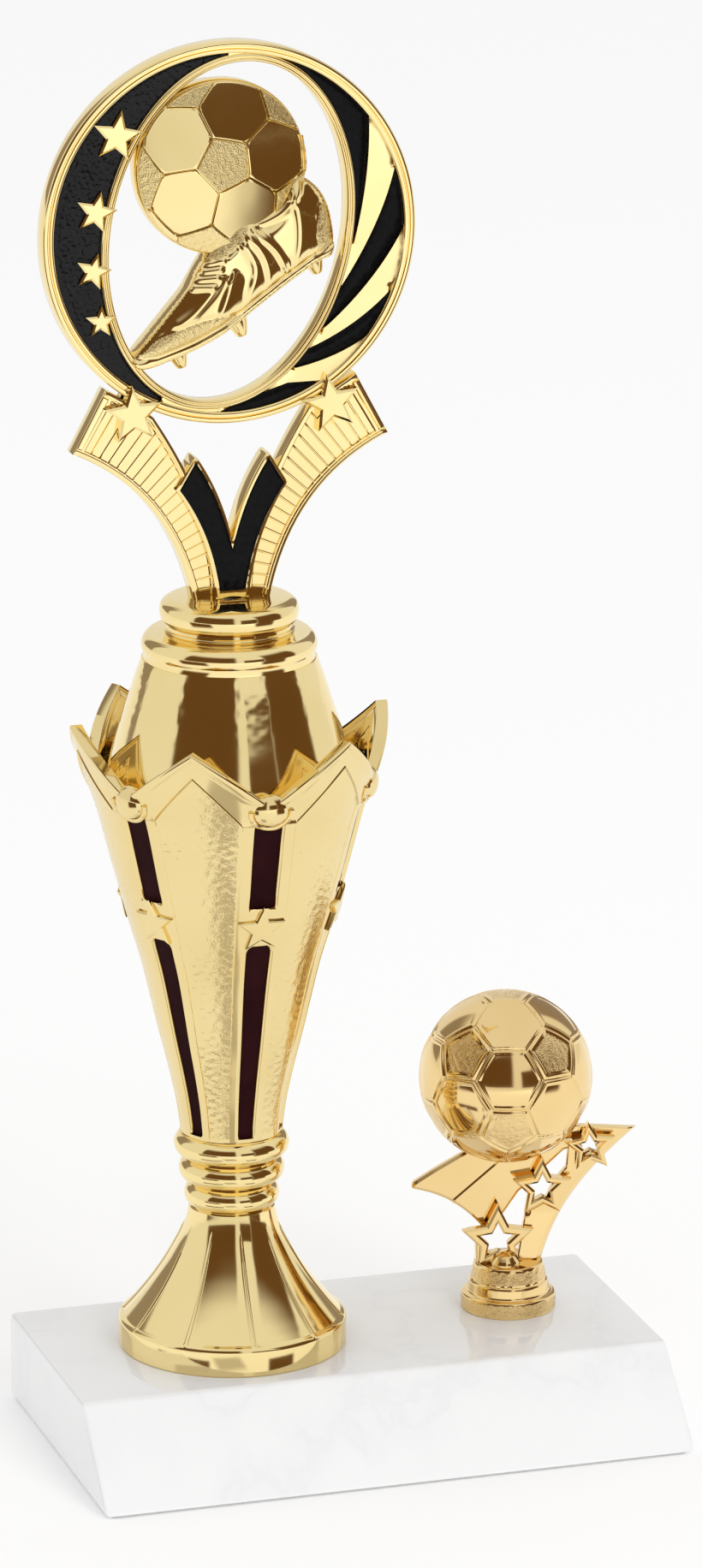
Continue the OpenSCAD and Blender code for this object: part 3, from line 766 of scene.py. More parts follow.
def cup_columns():
    """Kind and share of each column from a valley to a petal's middle: slot, strip and panel."""
    slot = [(0, 0.0), (0, 0.5)]
    strip = [(1, 0.0), (1, 0.1), (1, 0.24), (1, 0.5), (1, 0.8), (1, 0.93)]
    panel = [(2, 0.0), (2, 0.025), (2, 0.05)] + [(2, 0.05 + 0.95 * k / 26) for k in range(1, 27)]
    return slot + strip + panel


LOW_ROWS = np.arange(0, BEND_H, 0.45)
MID_ROWS = 44
TOP_SHARES = np.array([0, 0.04, 0.3, 0.6, 0.70, 0.74, 0.78, 0.86, 0.93, 0.97, 1.0])
LIP = np.array([0, 0.22, 0.22, 0.22, 0.22, 0.1, 0.0, 0.0, 0.05, 0.18, 0.45])
PETAL_TIP = math.radians(180 / PETALS)


def cup_line(kind, share):
    """Angle, height, radius and panel flag of every row along one column."""
    def angles(h):
        r = cup_radius(h)
        edge, strip = slot_half_width(h) / r, strip_half_width(h) / r
        if kind == 0:
            return edge * share
        if kind == 1:
            return edge + (strip - edge) * share
        return strip + (PETAL_TIP - strip) * share

    at_shoulder = angles(np.array([PANEL_SHOULDER]))[0]
    strip_edge = strip_half_width(PANEL_SHOULDER) / cup_radius(PANEL_SHOULDER)
    across = np.clip((at_shoulder - strip_edge) / (PETAL_TIP - strip_edge), 0, 1)
    panel_top = PANEL_SHOULDER + (PANEL_PEAK - PANEL_SHOULDER) * across
    rim = VALLEY_H + (PETAL_H - VALLEY_H) * np.clip(at_shoulder / PETAL_TIP, 0, 1)
    mid_h = BEND_H + (panel_top - BEND_H) * np.arange(MID_ROWS) / MID_ROWS
    top_h = panel_top + (rim - panel_top) * TOP_SHARES
    height = np.concatenate([LOW_ROWS, mid_h, top_h])
    upper = np.concatenate([mid_h, top_h])
    blend = np.clip((upper - BEND_H) / (PANEL_SHOULDER - BEND_H), 0, 1)
    bent = angles(np.minimum(upper, PANEL_SHOULDER)) * (1 - blend) + at_shoulder * blend
    angle = np.concatenate([angles(LOW_ROWS), bent])
    rows = np.arange(len(height))
    panel_rows = (rows > 1) & (rows < len(LOW_ROWS) + MID_ROWS)
    sunk = np.zeros(len(height))
    sunk[-len(LIP):] = LIP
    sunk[:-len(LIP)] = 0.22
    if kind == 2:
        sunk[panel_rows] = np.interp(share, [0, 0.025, 0.05], [0.22, 0.42, 0.36])
    if kind == 1:
        sunk = sunk + np.interp(share, [0, 0.1, 0.24], [0.55, 0.2, 0]) * beside_slots(height)
    return angle, height, cup_radius(height) - sunk, panel_rows & (kind == 2) & (share > 0.03)


def cup_skin(half):
    """Outer points of the cup by row and column, which of them are hammered, and a valley's heights."""
    sides = [(-1, c) for c in half[:0:-1]] + [(1, c) for c in half[:-1]]
    lines = [(side, *cup_line(*c)) for side, c in sides]
    points, rough = [], []
    for k in range(PETALS):
        for side, angle, height, radius, grainy in lines:
            points.append(round_axis(COLUMN, radius, 2 * PETAL_TIP * k + side * angle, CUP_BOTTOM + height))
            rough.append(grainy)
    return np.stack(points, 1), np.stack(rough, 1), lines[len(lines) // 2][2]


def cup_walls(is_open):
    """Edges of the cup's outer skin at its two rims and round its slots, in the order of their walls."""
    rows, columns = is_open.shape
    last = rows * columns
    walls = []
    for j in range(columns):
        j2 = (j + 1) % columns
        walls += [(last + j, last + j2), (j2, j)]
    for i, j in zip(*np.nonzero(is_open)):
        j2 = (j + 1) % columns
        corners = [i * columns + j, i * columns + j2, (i + 1) * columns + j2, (i + 1) * columns + j]
        around = [(i - 1, j), (i, j2), (i + 1, j), (i, (j - 1) % columns)]
        walls += [(corners[e], corners[(e + 1) % 4]) for e, cell in enumerate(around) if not is_open[cell]]
    return np.array(walls)


def make_cup():
    """Petal cup: strips with slots in the valleys, hammered panels up the petals."""
    half = cup_columns()
    outer, rough, heights = cup_skin(half)
    rows, columns = rough.shape
    outer, rough = outer.reshape(-1, 3), rough.reshape(-1)
    radial, radius = from_axis(outer, COLUMN)
    outer = outer + radial * (0.05 * hammered(outer, radius) * rough)[:, None]
    wall = 0.8 + 1.5 * smooth_step(72, 82, outer[:, 2] - CUP_BOTTOM)
    inner = outer - radial * wall[:, None]
    n = len(outer)
    slot_row = beside_slots((heights[1:] + heights[:-1]) / 2)
    from_valley = np.arange(columns) % (columns // PETALS) - (len(half) - 1.5)
    is_open = slot_row[:, None] & (np.abs(from_valley) < 2)[None]
    kept = grid_faces(rows, columns)[~is_open.reshape(-1)]
    a, b = cup_walls(is_open).T
    faces = np.concatenate([kept, kept[:, ::-1] + n, np.stack([a, b, b + n, a + n], 1)])
    slots = np.zeros(len(faces), int)
    slots[:len(kept)] = rough[kept].all(1)
    part = np.concatenate([outer, inner]), faces.tolist()
    add("petal_cup", part, [gold_cup, gold_hammered], "cup_shell", sharp=40, face_slots=slots.tolist())


def make_liner():
    """Maroon sleeve close behind the slots."""
    gap, thick = 1.1, 0.5
    h = np.linspace(0.6, 74, 40)
    r = cup_radius(h) - gap
    profile = np.concatenate([np.column_stack([r, h]), np.column_stack([r - thick, h])[::-1]])
    add("slot_liner", lathe(profile, COLUMN, CUP_BOTTOM, 96), [maroon], "cup_liner", slot="gold_inner")


def on_cup(a, u, h, lift):
    """Places on the cup, u mm round from azimuth a, lifted off the surface."""
    surface = cup_radius(h)
    return round_axis(COLUMN, surface + lift, a + u / surface, CUP_BOTTOM + h)


def make_cup_stars():
    """Faceted stars that bridge the two slots of each strip."""
    base, brow = star(5.3, 90), star(5.3 * 0.86, 90)
    spots = np.concatenate([base, base, brow, [(0, 0), (0, 0)]])
    lift = np.repeat([-0.5, 0.35, 0.62, 0.95, -0.5], [10, 10, 10, 1, 1])
    faces = []
    for i in range(10):
        j = (i + 1) % 10
        faces += [(i, j, j + 10, i + 10), (i + 10, j + 10, j + 20, i + 20), (i + 20, j + 20, 30), (j, i, 31)]
    turns = [2 * PETAL_TIP * k for k in range(PETALS)]
    parts = [(on_cup(a, spots[:, 0], STAR_H + spots[:, 1], lift), faces) for a in turns]
    add("slot_stars", join(*parts), [gold_cup], "cup_stars", sharp=20)


def make_valley_bosses():
    """A round boss in each notch between petals, with a raised lip round its lower half."""
    half_width, half_height, half_depth = 3.9, 3.4, 2.0
    boss_h, outermost = VALLEY_H - 1.0, 31.2
    lip_w, lip_h, tube = 4.35, 3.95, 0.55
    la, lo = ball_grid(-89, 89, 16, 32)
    deep, wide = half_depth * np.cos(la) * np.cos(lo), half_width * np.cos(la) * np.sin(lo)
    ball = np.stack([deep, wide, half_height * np.sin(la)], -1).reshape(-1, 3)
    round_lip, round_tube = np.radians(np.linspace(180, 360, 25)), np.radians(np.arange(0, 360, 45))
    t, b = np.meshgrid(round_lip, round_tube, indexing="ij")
    q = tube * np.cos(b)
    parts = []
    for k in range(PETALS):
        a = 2 * PETAL_TIP * k
        out, side = np.array([math.sin(a), -math.cos(a), 0]), np.array([math.cos(a), math.sin(a), 0])
        centre = np.array([*COLUMN, CUP_BOTTOM + boss_h]) + out * (outermost - half_depth)
        turned = ball[:, 0:1] * out + ball[:, 1:2] * side + ball[:, 2:3] * [0, 0, 1]
        parts.append((turned + centre, tube_faces(*la.shape)))
        lip = on_cup(a, (lip_w + q) * np.cos(t), boss_h + (lip_h + q) * np.sin(t), tube * np.sin(b) - 0.1)
        parts.append((lip.reshape(-1, 3), tube_faces(*t.shape)))
    add("valley_bosses", join(*parts), [gold_cup])


def make_dome():
    """Cone with rounded foot that closes the cup; its moulding is very slightly uneven."""
    line = spline([(25.3, 0), (25.4, 3), (25.2, 6.5), (23.9, 11.3), (22.4, 16.2), (20.8, 21.3), (19.3, 26),
                   (18, 29.5)], 9)
    wall = 1.6
    inner = line[::-9] - [wall, 0]
    profile = np.concatenate([line, [(ROD_HOLE, 29.5), (ROD_HOLE, 27.9), (16.6, 27.9)], inner[1:]])
    segments = 288
    points, faces = lathe(profile, COLUMN, DOME_SEAT, segments)
    skin = points[:len(line) * segments]
    fade = smooth_step(12, 22, skin[:, 2] - DOME_SEAT)
    dent = 0.02 * fade * (1 + pebbles(skin, 1.0, 5))
    points[:len(skin)] = skin - from_axis(skin, COLUMN)[0] * dent[:, None]
    add("dome_crown", (points, faces), [gold], "crown_dome")


def make_cap():
    """Collar over the dome: a thick round, a waist and a fine bead."""
    tube = 2.75
    height = CAP_TOP - DOME_TOP
    waist = curve((16.3, 5.25), (14.6, 5.5), (13.5, 5.65), 4)
    bead = bead_arc(13.15, 6.1, 0.36, 7, -80, 80)
    bore = [(13.0, 6.55), (12.9, height), (ROD_HOLE, height), (ROD_HOLE, 0)]
    profile = np.concatenate([[(17.8, 0)], bead_arc(18.1 - tube, tube, tube, 20, -32, 66), waist, bead, bore])
    add("collar_cap", lathe(profile, COLUMN, DOME_TOP, 160), [gold], "riser_cap", sharp=55)


def make_plinth():
    """Rounded ring that the stem stands on."""
    height = PLINTH_TOP - CAP_TOP
    side = spline([(12.9, 0.2), (13.9, 0.9), (14.3, 2.3), (14.25, 3.4), (13.8, 4.5), (12.6, 5.3),
                   (11.4, height)], 5)
    profile = np.concatenate([[(12.7, 0.0)], side, [(ROD_HOLE, height), (ROD_HOLE, 0)]])
    add("plinth_ring", lathe(profile, COLUMN, CAP_TOP, 160), [gold], "figure_plinth", sharp=45)


# ---- Figure: stem -------------------------------------------------------------------------------

ARM_CORNER, ARM_TOP = (33.3, BASE_TOP + 193.5), (26.4, BASE_TOP + 206.4)
ARM_INNER = (16.7, BASE_TOP + 200.6)
RIM_DEPTH, FIELD_DEPTH = 2.5, 1.6  # half depth of the rims and of the field between them
ARM_RIBS = 19
V_TIP = (7.7, BASE_TOP + 190.2)
V_SHOULDER = (11.1, BASE_TOP + 184.6)
V_NOTCH = (0, BASE_TOP + 171.7)
V_FOOT = 1.6


def evenly(line, shares):
    """Points at shares of a polyline's length."""
    line = np.asarray(line, float)
    length = np.concatenate([[0], np.cumsum(np.linalg.norm(np.diff(line, axis=0), axis=1))])
    at = np.asarray(shares) * length[-1]
    return np.column_stack([np.interp(at, length, line[:, 0]), np.interp(at, length, line[:, 1])])


def rib_rows(length, end):
    """Shares of an arm's length with their rib height (0 to 1) and end rim height (0 for none)."""
    rib_half, rib_soft = 0.07, 0.14
    rib = (-rib_half - rib_soft, -rib_half, rib_half, rib_half + rib_soft)
    along, ribbed = [0.0, 0.5 / length], [0, 0]
    for k in range(ARM_RIBS):
        middle = 0.8 + (length - end - 1.4) * (k + 0.5) / ARM_RIBS
        along += [(middle + o) / length for o in rib]
        ribbed += [0, 1, 1, 0]
    along += [1 - gap / length for gap in (end + 0.3, end, end - 0.5, end - 0.75, 0.35, 0.1)] + [1.0]
    rim = [FIELD_DEPTH, 2.0, 2.0, RIM_DEPTH, RIM_DEPTH, RIM_DEPTH - 0.12, RIM_DEPTH - 0.45]
    return along, np.array(ribbed + [0] * len(rim)), np.array([0] * len(ribbed) + rim)


def make_stem():
    """Two arms with raised rims and fine ribs across them, joined at the root."""
    outer = curve((8.1, PLINTH_TOP), (13.1, BASE_TOP + 184.6), ARM_CORNER, 60)
    inner = np.concatenate([curve((2.8, PLINTH_TOP), (3, BASE_TOP + 180), ARM_INNER, 50), [ARM_TOP]])
    length = np.linalg.norm(np.diff(outer, axis=0), axis=1).sum()
    along, ribbed, ends = rib_rows(length, 1.9)
    a, b = evenly(outer, along), evenly(inner, along)
    width = np.linalg.norm(a - b, axis=1)[:, None]
    rim_at = np.array([0, 0.1, 0.35, 0.95, 1.1, 1.35, 1.6])
    rim = [RIM_DEPTH - 0.45, RIM_DEPTH - 0.12, RIM_DEPTH, RIM_DEPTH, 2.0, 2.0, FIELD_DEPTH]
    field_at = np.linspace(0.25, 0.75, 5)
    across = np.concatenate([rim_at / width, field_at + 0 * width, 1 - rim_at[::-1] / width], axis=1)
    height = np.array(rim + [FIELD_DEPTH] * len(field_at) + rim[::-1])
    uw = a[:, None] + (b - a)[:, None] * across[..., None]
    in_field = np.abs(height - FIELD_DEPTH) < 0.01
    d = np.where(in_field[None], FIELD_DEPTH + 0.32 * ribbed[:, None], height[None])
    d = np.where((ends[:, None] > 0) & in_field[None], ends[:, None], d)
    d[-1], d[-2] = RIM_DEPTH - 0.45, RIM_DEPTH - 0.12
    from_ring = uw - [0, RING[2]]
    far = np.linalg.norm(from_ring, axis=-1)
    keep_out = RING_R - 0.6
    uw = np.where((far < keep_out)[..., None], [0, RING[2]] + from_ring * (keep_out / far)[..., None], uw)
    rows, columns = d.shape
    front = np.concatenate([uw, d[..., None]], -1).reshape(-1, 3)
    n = len(front)
    quads = grid_faces(rows, columns, wrap_columns=False)
    grid = np.arange(n).reshape(rows, columns)
    border = np.concatenate([grid[0, :-1], grid[:-1, -1], grid[-1, :0:-1], grid[:0:-1, 0]])
    ahead = np.roll(border, -1)
    wall = np.stack([border, ahead, ahead + n, border + n], 1)
    faces = np.concatenate([quads[:, ::-1], quads + n, wall]).tolist()
    points = np.concatenate([front, front * [1, 1, -1]])
    arms = join((points, faces), (points * [-1, 1, 1], [f[::-1] for f in faces]))
    add("stem_arms", in_figure_plane(arms), [gold], "stem", sharp=35)


def v_outline(grow=0.0):
    """Outline of the V; grow widens it for the gold bed under the black."""
    root = (2.8 + grow, PLINTH_TOP + (0 if grow else V_FOOT))
    outer = curve(root, (4.2 + grow, BASE_TOP + 175), (V_SHOULDER[0] + grow, V_SHOULDER[1]), 14)
    tip = [(V_TIP[0] + 0.2 * grow, V_TIP[1] + 1.3 * grow)]
    start, end = (V_TIP[0] - 0.6 * grow, V_TIP[1] + 1.1 * grow), (V_NOTCH[0], V_NOTCH[1] + 2.2 * grow)
    inner = curve(start, (2.6 - 0.8 * grow, BASE_TOP + 182.7 + 0.8 * grow), end, 14)
    half = np.concatenate([outer, tip, inner[:-1]])
    return np.concatenate([half, [inner[-1]], mirrored(half)[::-1]])


def rounded_height(edge, top, soft):
    """Height of a flat top with a quarter round of radius soft at its edge."""
    return top - soft * (1 - np.sqrt(1 - np.clip(1 - edge / soft, 0, 1) ** 2))


def make_v():
    """Black V between the arms, on a gold bed."""
    bed = fill([v_outline(0.75)], 0.9, rings=(0.12, 0.4))
    h = rounded_height(outline_distance(bed[0], bed[3]), 2.85, 0.4)
    add("stem_v_bed", in_figure_plane(plate(bed, h, -h)), [gold], sharp=40)
    ink = fill([v_outline()], 0.6, rings=(0.12, 0.3))
    flat = ink[0]
    low = smooth_step(5.5, 2.5, flat[:, 1] - PLINTH_TOP)
    h = rounded_height(outline_distance(flat, ink[3]), 3.15, 0.3) - 0.12 * low * (1 + pebbles(flat, 0.9, 23))
    part = both_sides(plate(ink, h, 2.5))
    add("stem_v_black", in_figure_plane(part), [black], "stem_inlay", slot="black_fill", sharp=50)


# ---- Figure: ring -------------------------------------------------------------------------------

OVAL_A, OVAL_B, OVAL_LEAN = 34.9, 24.5, 11.5
OVAL_CENTRE = (-0.3, 0.3)
OVAL_RIM = 1.8
RING_R = (cad_box("ring_frame")[1][0] - cad_box("ring_frame")[0][0]) / 2
RING_RIM = 2.4


def oval(grow=0.0, n=200):
    """Inner line of the oval's rim, or a line outside it by grow."""
    return ellipse(OVAL_A + grow, OVAL_B + grow, OVAL_LEAN, OVAL_CENTRE, n)


def rim_profile(width, depth, groove):
    """Closed section of a rim: two beads with a groove between them, the same on both faces."""
    inner_bead = [(0, depth - 0.5), (0.12, depth - 0.2), (0.4, depth - 0.06), (width * 0.36, depth - 0.1)]
    valley = [(width * 0.43, depth - groove), (width * 0.50, depth - groove), (width * 0.57, depth - 0.06)]
    outer_bead = [(width * 0.72, depth), (width - 0.35, depth - 0.06), (width - 0.1, depth - 0.25)]
    half = np.array(inner_bead + valley + outer_bead + [(width, depth - 0.6)])
    return np.concatenate([half, half[::-1] * [1, -1]])


def make_ring_rims():
    """Rim of the ring and rim of the tilted oval in it."""
    outer = sweep(circle(RING_R - RING_RIM, n=320), rim_profile(RING_RIM, RIM_DEPTH, 0.55))
    inner = sweep(oval(n=320), rim_profile(OVAL_RIM, RIM_DEPTH - 0.1, 0.35))
    add("ring_rims", in_ring_plane(join(outer, inner)), [gold], "ring_frame", sharp=60)


RAY_1 = curve((28.8, 24.9), (29.8, 12), (25.8, -3.5))
RAY_2 = curve((35.2, 12.6), (32.5, 0), (22.5, -14))
RAY_3 = curve((37.4, 1.4), (31.5, -11), (19, -21))
RAY_4 = curve((35.2, -12.6), (27.5, -21), (15.4, -25.4))
RAY_5 = curve((32.2, -19.7), (25.5, -26.5), (12, -28.6))
BLACK_RAYS = [np.concatenate([[(0, 0), (10, 42), (34, 30)], RAY_1, [(20, -4)]]),
              np.concatenate([RAY_2, RAY_3[::-1]]),
              np.concatenate([RAY_4, RAY_5[::-1]]),
              np.array([(22, -31.8), (12, -31.8), (3.7, -34.4), (-2.5, -36.9), (-2.5, -40), (22, -40)])]
CRESCENT = np.array([(-0.5, 40), (-0.5, 30), (-20, 0), (-14.8, -31), (-14.8, -40), (-45, -40), (-45, 40)])


def web_sign(points):
    """Distance to the edges of the field between the oval rim and the ring rim, positive inside it."""
    ring = RING_R - RING_RIM + 0.3 - np.linalg.norm(points, axis=1)
    return np.minimum(ring, -shape_sign(points, oval(OVAL_RIM - 0.3)))


def shape_sign(points, shape):
    """Distance to a closed shape's outline, positive inside it."""
    return line_distance(points, shape, True) * np.where(inside(points, [shape]), 1, -1)


CRESCENT_STARS = [(-23.5, 21.2, 5.4, 80), (-28, 6, 4.5, 76), (-28.7, -6, 3.9, 75), (-27.2, -16.4, 3.4, 88)]
JOINT_STARS = [((-20.8, BASE_TOP + 201), 94), ((20.9, BASE_TOP + 200.6), 100)]


def contour(xs, ys, value):
    """Closed zero lines of a sampled field, longest first."""
    links = {}
    spots = {}

    def crossing(i0, j0, i1, j1):
        key = (min((i0, j0), (i1, j1)), max((i0, j0), (i1, j1)))
        if key not in spots:
            a, b = value[i0, j0], value[i1, j1]
            t = a / (a - b)
            spots[key] = (xs[j0] + (xs[j1] - xs[j0]) * t, ys[i0] + (ys[i1] - ys[i0]) * t)
        return key

    rows, columns = value.shape
    for i in range(rows - 1):
        for j in range(columns - 1):
            corners = [(i, j), (i, j + 1), (i + 1, j + 1), (i + 1, j)]
            signs = [value[c] > 0 for c in corners]
            if all(signs) or not any(signs):
                continue
            changes = [k for k in range(4) if signs[k] != signs[(k + 1) % 4]]
            cuts = [crossing(*corners[k], *corners[(k + 1) % 4]) for k in changes]
            for a, b in zip(cuts[0::2], cuts[1::2]):
                links.setdefault(a, []).append(b)
                links.setdefault(b, []).append(a)
    loops, seen = [], set()
    for first in links:
        if first in seen:
            continue
        loop, here, came = [], first, None
        while here not in seen:
            seen.add(here)
            loop.append(spots[here])
            ahead = [k for k in links[here] if k != came and k not in seen]
            if not ahead:
                break
            came, here = here, ahead[0]
        loops.append(np.array(loop))
    return sorted(loops, key=len, reverse=True)


def web_outlines(shape, step=0.35):
    """Outlines of the parts of a closed shape inside the web, longest first, from a fine grid."""
    lo, hi = np.maximum(shape.min(0), -RING_R), np.minimum(shape.max(0), RING_R)
    xs = np.arange(lo[0] - step, hi[0] + 2 * step, step)
    ys = np.arange(lo[1] - step, hi[1] + 2 * step, step)
    gx, gy = np.meshgrid(xs, ys)
    points = np.stack([gx.ravel(), gy.ravel()], 1)
    value = np.minimum(web_sign(points), shape_sign(points, shape)).reshape(gx.shape)
    return [loop for loop in contour(xs, ys, value) if len(loop) > 12]


def make_web():
    """Gold floor of the ring with the raised swept rays."""
    shapes = BLACK_RAYS + [CRESCENT]
    loops = [circle(RING_R - RING_RIM + 0.3, n=260), oval(OVAL_RIM - 0.3, 260)]
    soft = 0.3
    creases = [np.concatenate([shape, shape[:1]]) for shape in shapes]
    filled = fill(loops, 0.9, seed=7, lines=creases, beside=soft)
    flat = filled[0]
    dark = np.max([shape_sign(flat, shape) for shape in shapes], axis=0)
    from_rims = np.maximum(0, web_sign(flat))
    h = 1.3 + 0.85 * np.clip(-dark / soft, 0, 1) ** 0.6 - 0.1 * np.exp(-from_rims / 0.5)
    add("ring_web", in_ring_plane(plate(filled, h, -h)), [gold], sharp=40)


def make_black_fields():
    """Black inlays: smooth between the rays, pebbled in the crescent."""
    rays = []
    for loop in [loop for shape in BLACK_RAYS for loop in web_outlines(shape)]:
        filled = fill([loop], 0.8, rings=(0.15,))
        edge = outline_distance(filled[0], filled[3])
        rays.append(both_sides(plate(filled, 1.85 - 0.3 * bell(edge, 0.35), 1.0)))
    add("black_rays", in_ring_plane(join(*rays)), [black], "ray_inlays", slot="black_fill", sharp=50)
    filled = fill([web_outlines(CRESCENT)[0]], 0.36, rings=(0.15,), seed=9)
    flat = filled[0]
    edge = outline_distance(flat, filled[3])
    rough = smooth_step(1.0, 2.0, edge) * smooth_step(-24, -14, flat[:, 1]) * smooth_step(27, 20, flat[:, 1])
    h = 1.95 - 0.2 * bell(edge, 0.35) - 0.06 * rough * (1 - pebbles(flat, 0.5, 21))
    part = in_ring_plane(both_sides(plate(filled, h, 1.0)))
    add("black_crescent", part, [black_pebbled], "crescent_inlay", slot="black_fill", sharp=60)


def star_solid(centre, r, turn, low, high, chamfer, inner=0.44, opening=0.0):
    """A flat star with even chamfers between two depths; opening is the size of a hole of the same shape."""
    corner = math.radians(36)
    edge_share = inner * math.sin(corner) / math.sqrt(1 + inner ** 2 - 2 * inner * math.cos(corner))
    bevel = chamfer / (r * edge_share)
    rows = [(1.0, low), (1.0, high - chamfer * 0.8), (1 - bevel, high)]
    if opening:
        neck, step = (1 + opening) / 2, high - 1.9
        rows = [(neck + 0.1, low), (neck + 0.1, step), (1.0, step)] + rows[1:]
        rows += [(opening + bevel, high), (opening, high - chamfer * 0.8), (opening, step)]
        rows += [(neck - 0.1, step), (neck - 0.1, low)]
    lines = [np.column_stack([star(r * size, turn, centre, inner), np.full(10, d)]) for size, d in rows]
    points = np.concatenate(lines)
    faces = grid_faces(len(rows), 10, wrap_rows=bool(opening)).tolist()
    if not opening:
        points = np.concatenate([points, [(*centre, high), (*centre, low)]])
        top, last = len(points) - 2, (len(rows) - 1) * 10
        faces += [(last + i, last + (i + 1) % 10, top) for i in range(10)]
        faces += [((i + 1) % 10, i, top + 1) for i in range(10)]
    return points, faces


def make_ring_stars():
    """Four stars on the crescent and the two where the ring meets the arms."""
    small = [both_sides(star_solid((u, w), r, turn, 1.2, 2.85, 0.4)) for u, w, r, turn in CRESCENT_STARS]
    add("crescent_stars", in_ring_plane(join(*small)), [gold], "ring_stars", sharp=15)
    large = [both_sides(star_solid(centre, 6.3, turn, 1.0, 3.9, 0.5)) for centre, turn in JOINT_STARS]
    add("arm_stars", in_figure_plane(join(*large)), [gold], "joint_stars", sharp=15)


# ---- Ball panels --------------------------------------------------------------------------------

def ball_panels():
    """Directions of the centres of the 12 pentagons and 20 hexagons of a football."""
    g = (1 + math.sqrt(5)) / 2
    pentagons = []
    for a in (-1, 1):
        for b in (-g, g):
            pentagons += [(0, a, b), (a, b, 0), (b, 0, a)]
    pentagons = np.array(pentagons, float)
    pentagons /= np.linalg.norm(pentagons, axis=1)[:, None]
    near = np.dot(pentagons[0], pentagons[1:].T).max() - 0.01
    trios = [[pentagons[i], pentagons[j], pentagons[k]]
             for i in range(12) for j in range(i + 1, 12) for k in range(j + 1, 12)]
    sums = [a + b + c for a, b, c in trios if min(a @ b, b @ c, a @ c) > near]
    return pentagons, np.array([total / np.linalg.norm(total) for total in sums])


PENTAGONS, HEXAGONS = ball_panels()
PENTAGON_PLANE, HEXAGON_PLANE = 0.9393, 0.9149  # distance of the flat panels from the middle of a unit ball


def ball_faces():
    """Corner directions of every panel in order round it, with its centre and whether it is a pentagon."""
    near = np.sort(PENTAGONS @ PENTAGONS[0])[-2] - 0.01
    corners = [(2 * a + b) / 3 for a in PENTAGONS for b in PENTAGONS if near < a @ b < 0.99]
    corners = np.array([c / np.linalg.norm(c) for c in corners])
    faces = []
    for centres, count, flag in ((PENTAGONS, 5, True), (HEXAGONS, 6, False)):
        for centre in centres:
            mine = corners[np.argsort(-(corners @ centre))[:count]]
            side = np.cross(centre, mine[0])
            side /= np.linalg.norm(side)
            turn = np.arctan2(mine @ side, mine @ np.cross(side, centre))
            faces.append((mine[np.argsort(turn)], centre, flag))
    return faces


def panel_field(directions, turn):
    """Nearness to a seam, pentagon flag and flat panel distance of directions on a turned unit ball."""
    local = directions @ turn
    score = np.concatenate([local @ PENTAGONS.T / PENTAGON_PLANE, local @ HEXAGONS.T / HEXAGON_PLANE], 1)
    order = np.sort(score, axis=1)
    return order[:, -1] - order[:, -2], np.argmax(score, axis=1) < 12, 1 / order[:, -1]


def turn_to(first_local, first_world, second_local, second_world):
    """Matrix that carries two local directions as close as it can to two world ones (local = world @ M)."""
    def basis(a, b):
        a = a / np.linalg.norm(a)
        c = np.cross(a, b)
        c = c / np.linalg.norm(c)
        return np.stack([a, np.cross(c, a), c])
    world = basis(np.asarray(first_world, float), np.asarray(second_world, float))
    return world.T @ basis(first_local, second_local)


def nearest(centres, towards, skip=0.99):
    """The centre closest to a direction, but not one closer to it than skip."""
    dots = centres @ towards
    dots = np.where(dots > skip, -2, dots)
    return centres[np.argmax(dots)]


# ---- Figure: ball and boot ----------------------------------------------------------------------

BALL_R, BALL_FACE = 17.9, 5.3  # radius of the relief ball's outline and its half depth
BALL_UW = np.array([-1.9, 13.7])
BALL_SPREAD = 0.94             # spread of the panels over the relief
BALL_FLAT, BALL_FALL = 4.8, 0.79  # radius of the flat middle and fall of the facets beyond it
FACET_SLOPE, FACET_SWELL = 0.25, 0.0015  # tilt of the facets and how much they bulge
PENTAGON_AT = np.array([0.0, 0.067, 1.0])
PENTAGON_TURN = math.radians(42.2)


def relief_turn():
    """Turn of the relief ball: a pentagon near its middle."""
    hexagon_side = PENTAGON_TURN + math.radians(36)
    side = np.array([math.cos(hexagon_side), math.sin(hexagon_side), 0.0])
    return turn_to(PENTAGONS[0], PENTAGON_AT, nearest(HEXAGONS, PENTAGONS[0]), side)


def relief_spot(directions):
    """Where a direction of the ball lands in its flattened relief, by the angle from the middle."""
    angle = np.arccos(np.clip(directions[:, 2], -1, 1))
    flat = directions[:, :2] / np.maximum(np.linalg.norm(directions[:, :2], axis=1), 1e-9)[:, None]
    return flat * (BALL_SPREAD * BALL_R * angle)[:, None]


def facet_height(off, centre):
    """Height of a panel's nearly flat facet at places measured from the ball's middle."""
    spot = relief_spot(centre[None])[0]
    reach = np.linalg.norm(spot)
    slope = FACET_SLOPE * math.tan(min(math.acos(np.clip(centre[2], -1, 1)), 1.0))
    top = BALL_FACE - FACET_SLOPE * BALL_FALL * max(0.0, reach - BALL_FLAT)
    outwards = spot / max(reach, 1e-9)
    return top - slope * (off - spot) @ outwards - FACET_SWELL * ((off - spot) ** 2).sum(1)


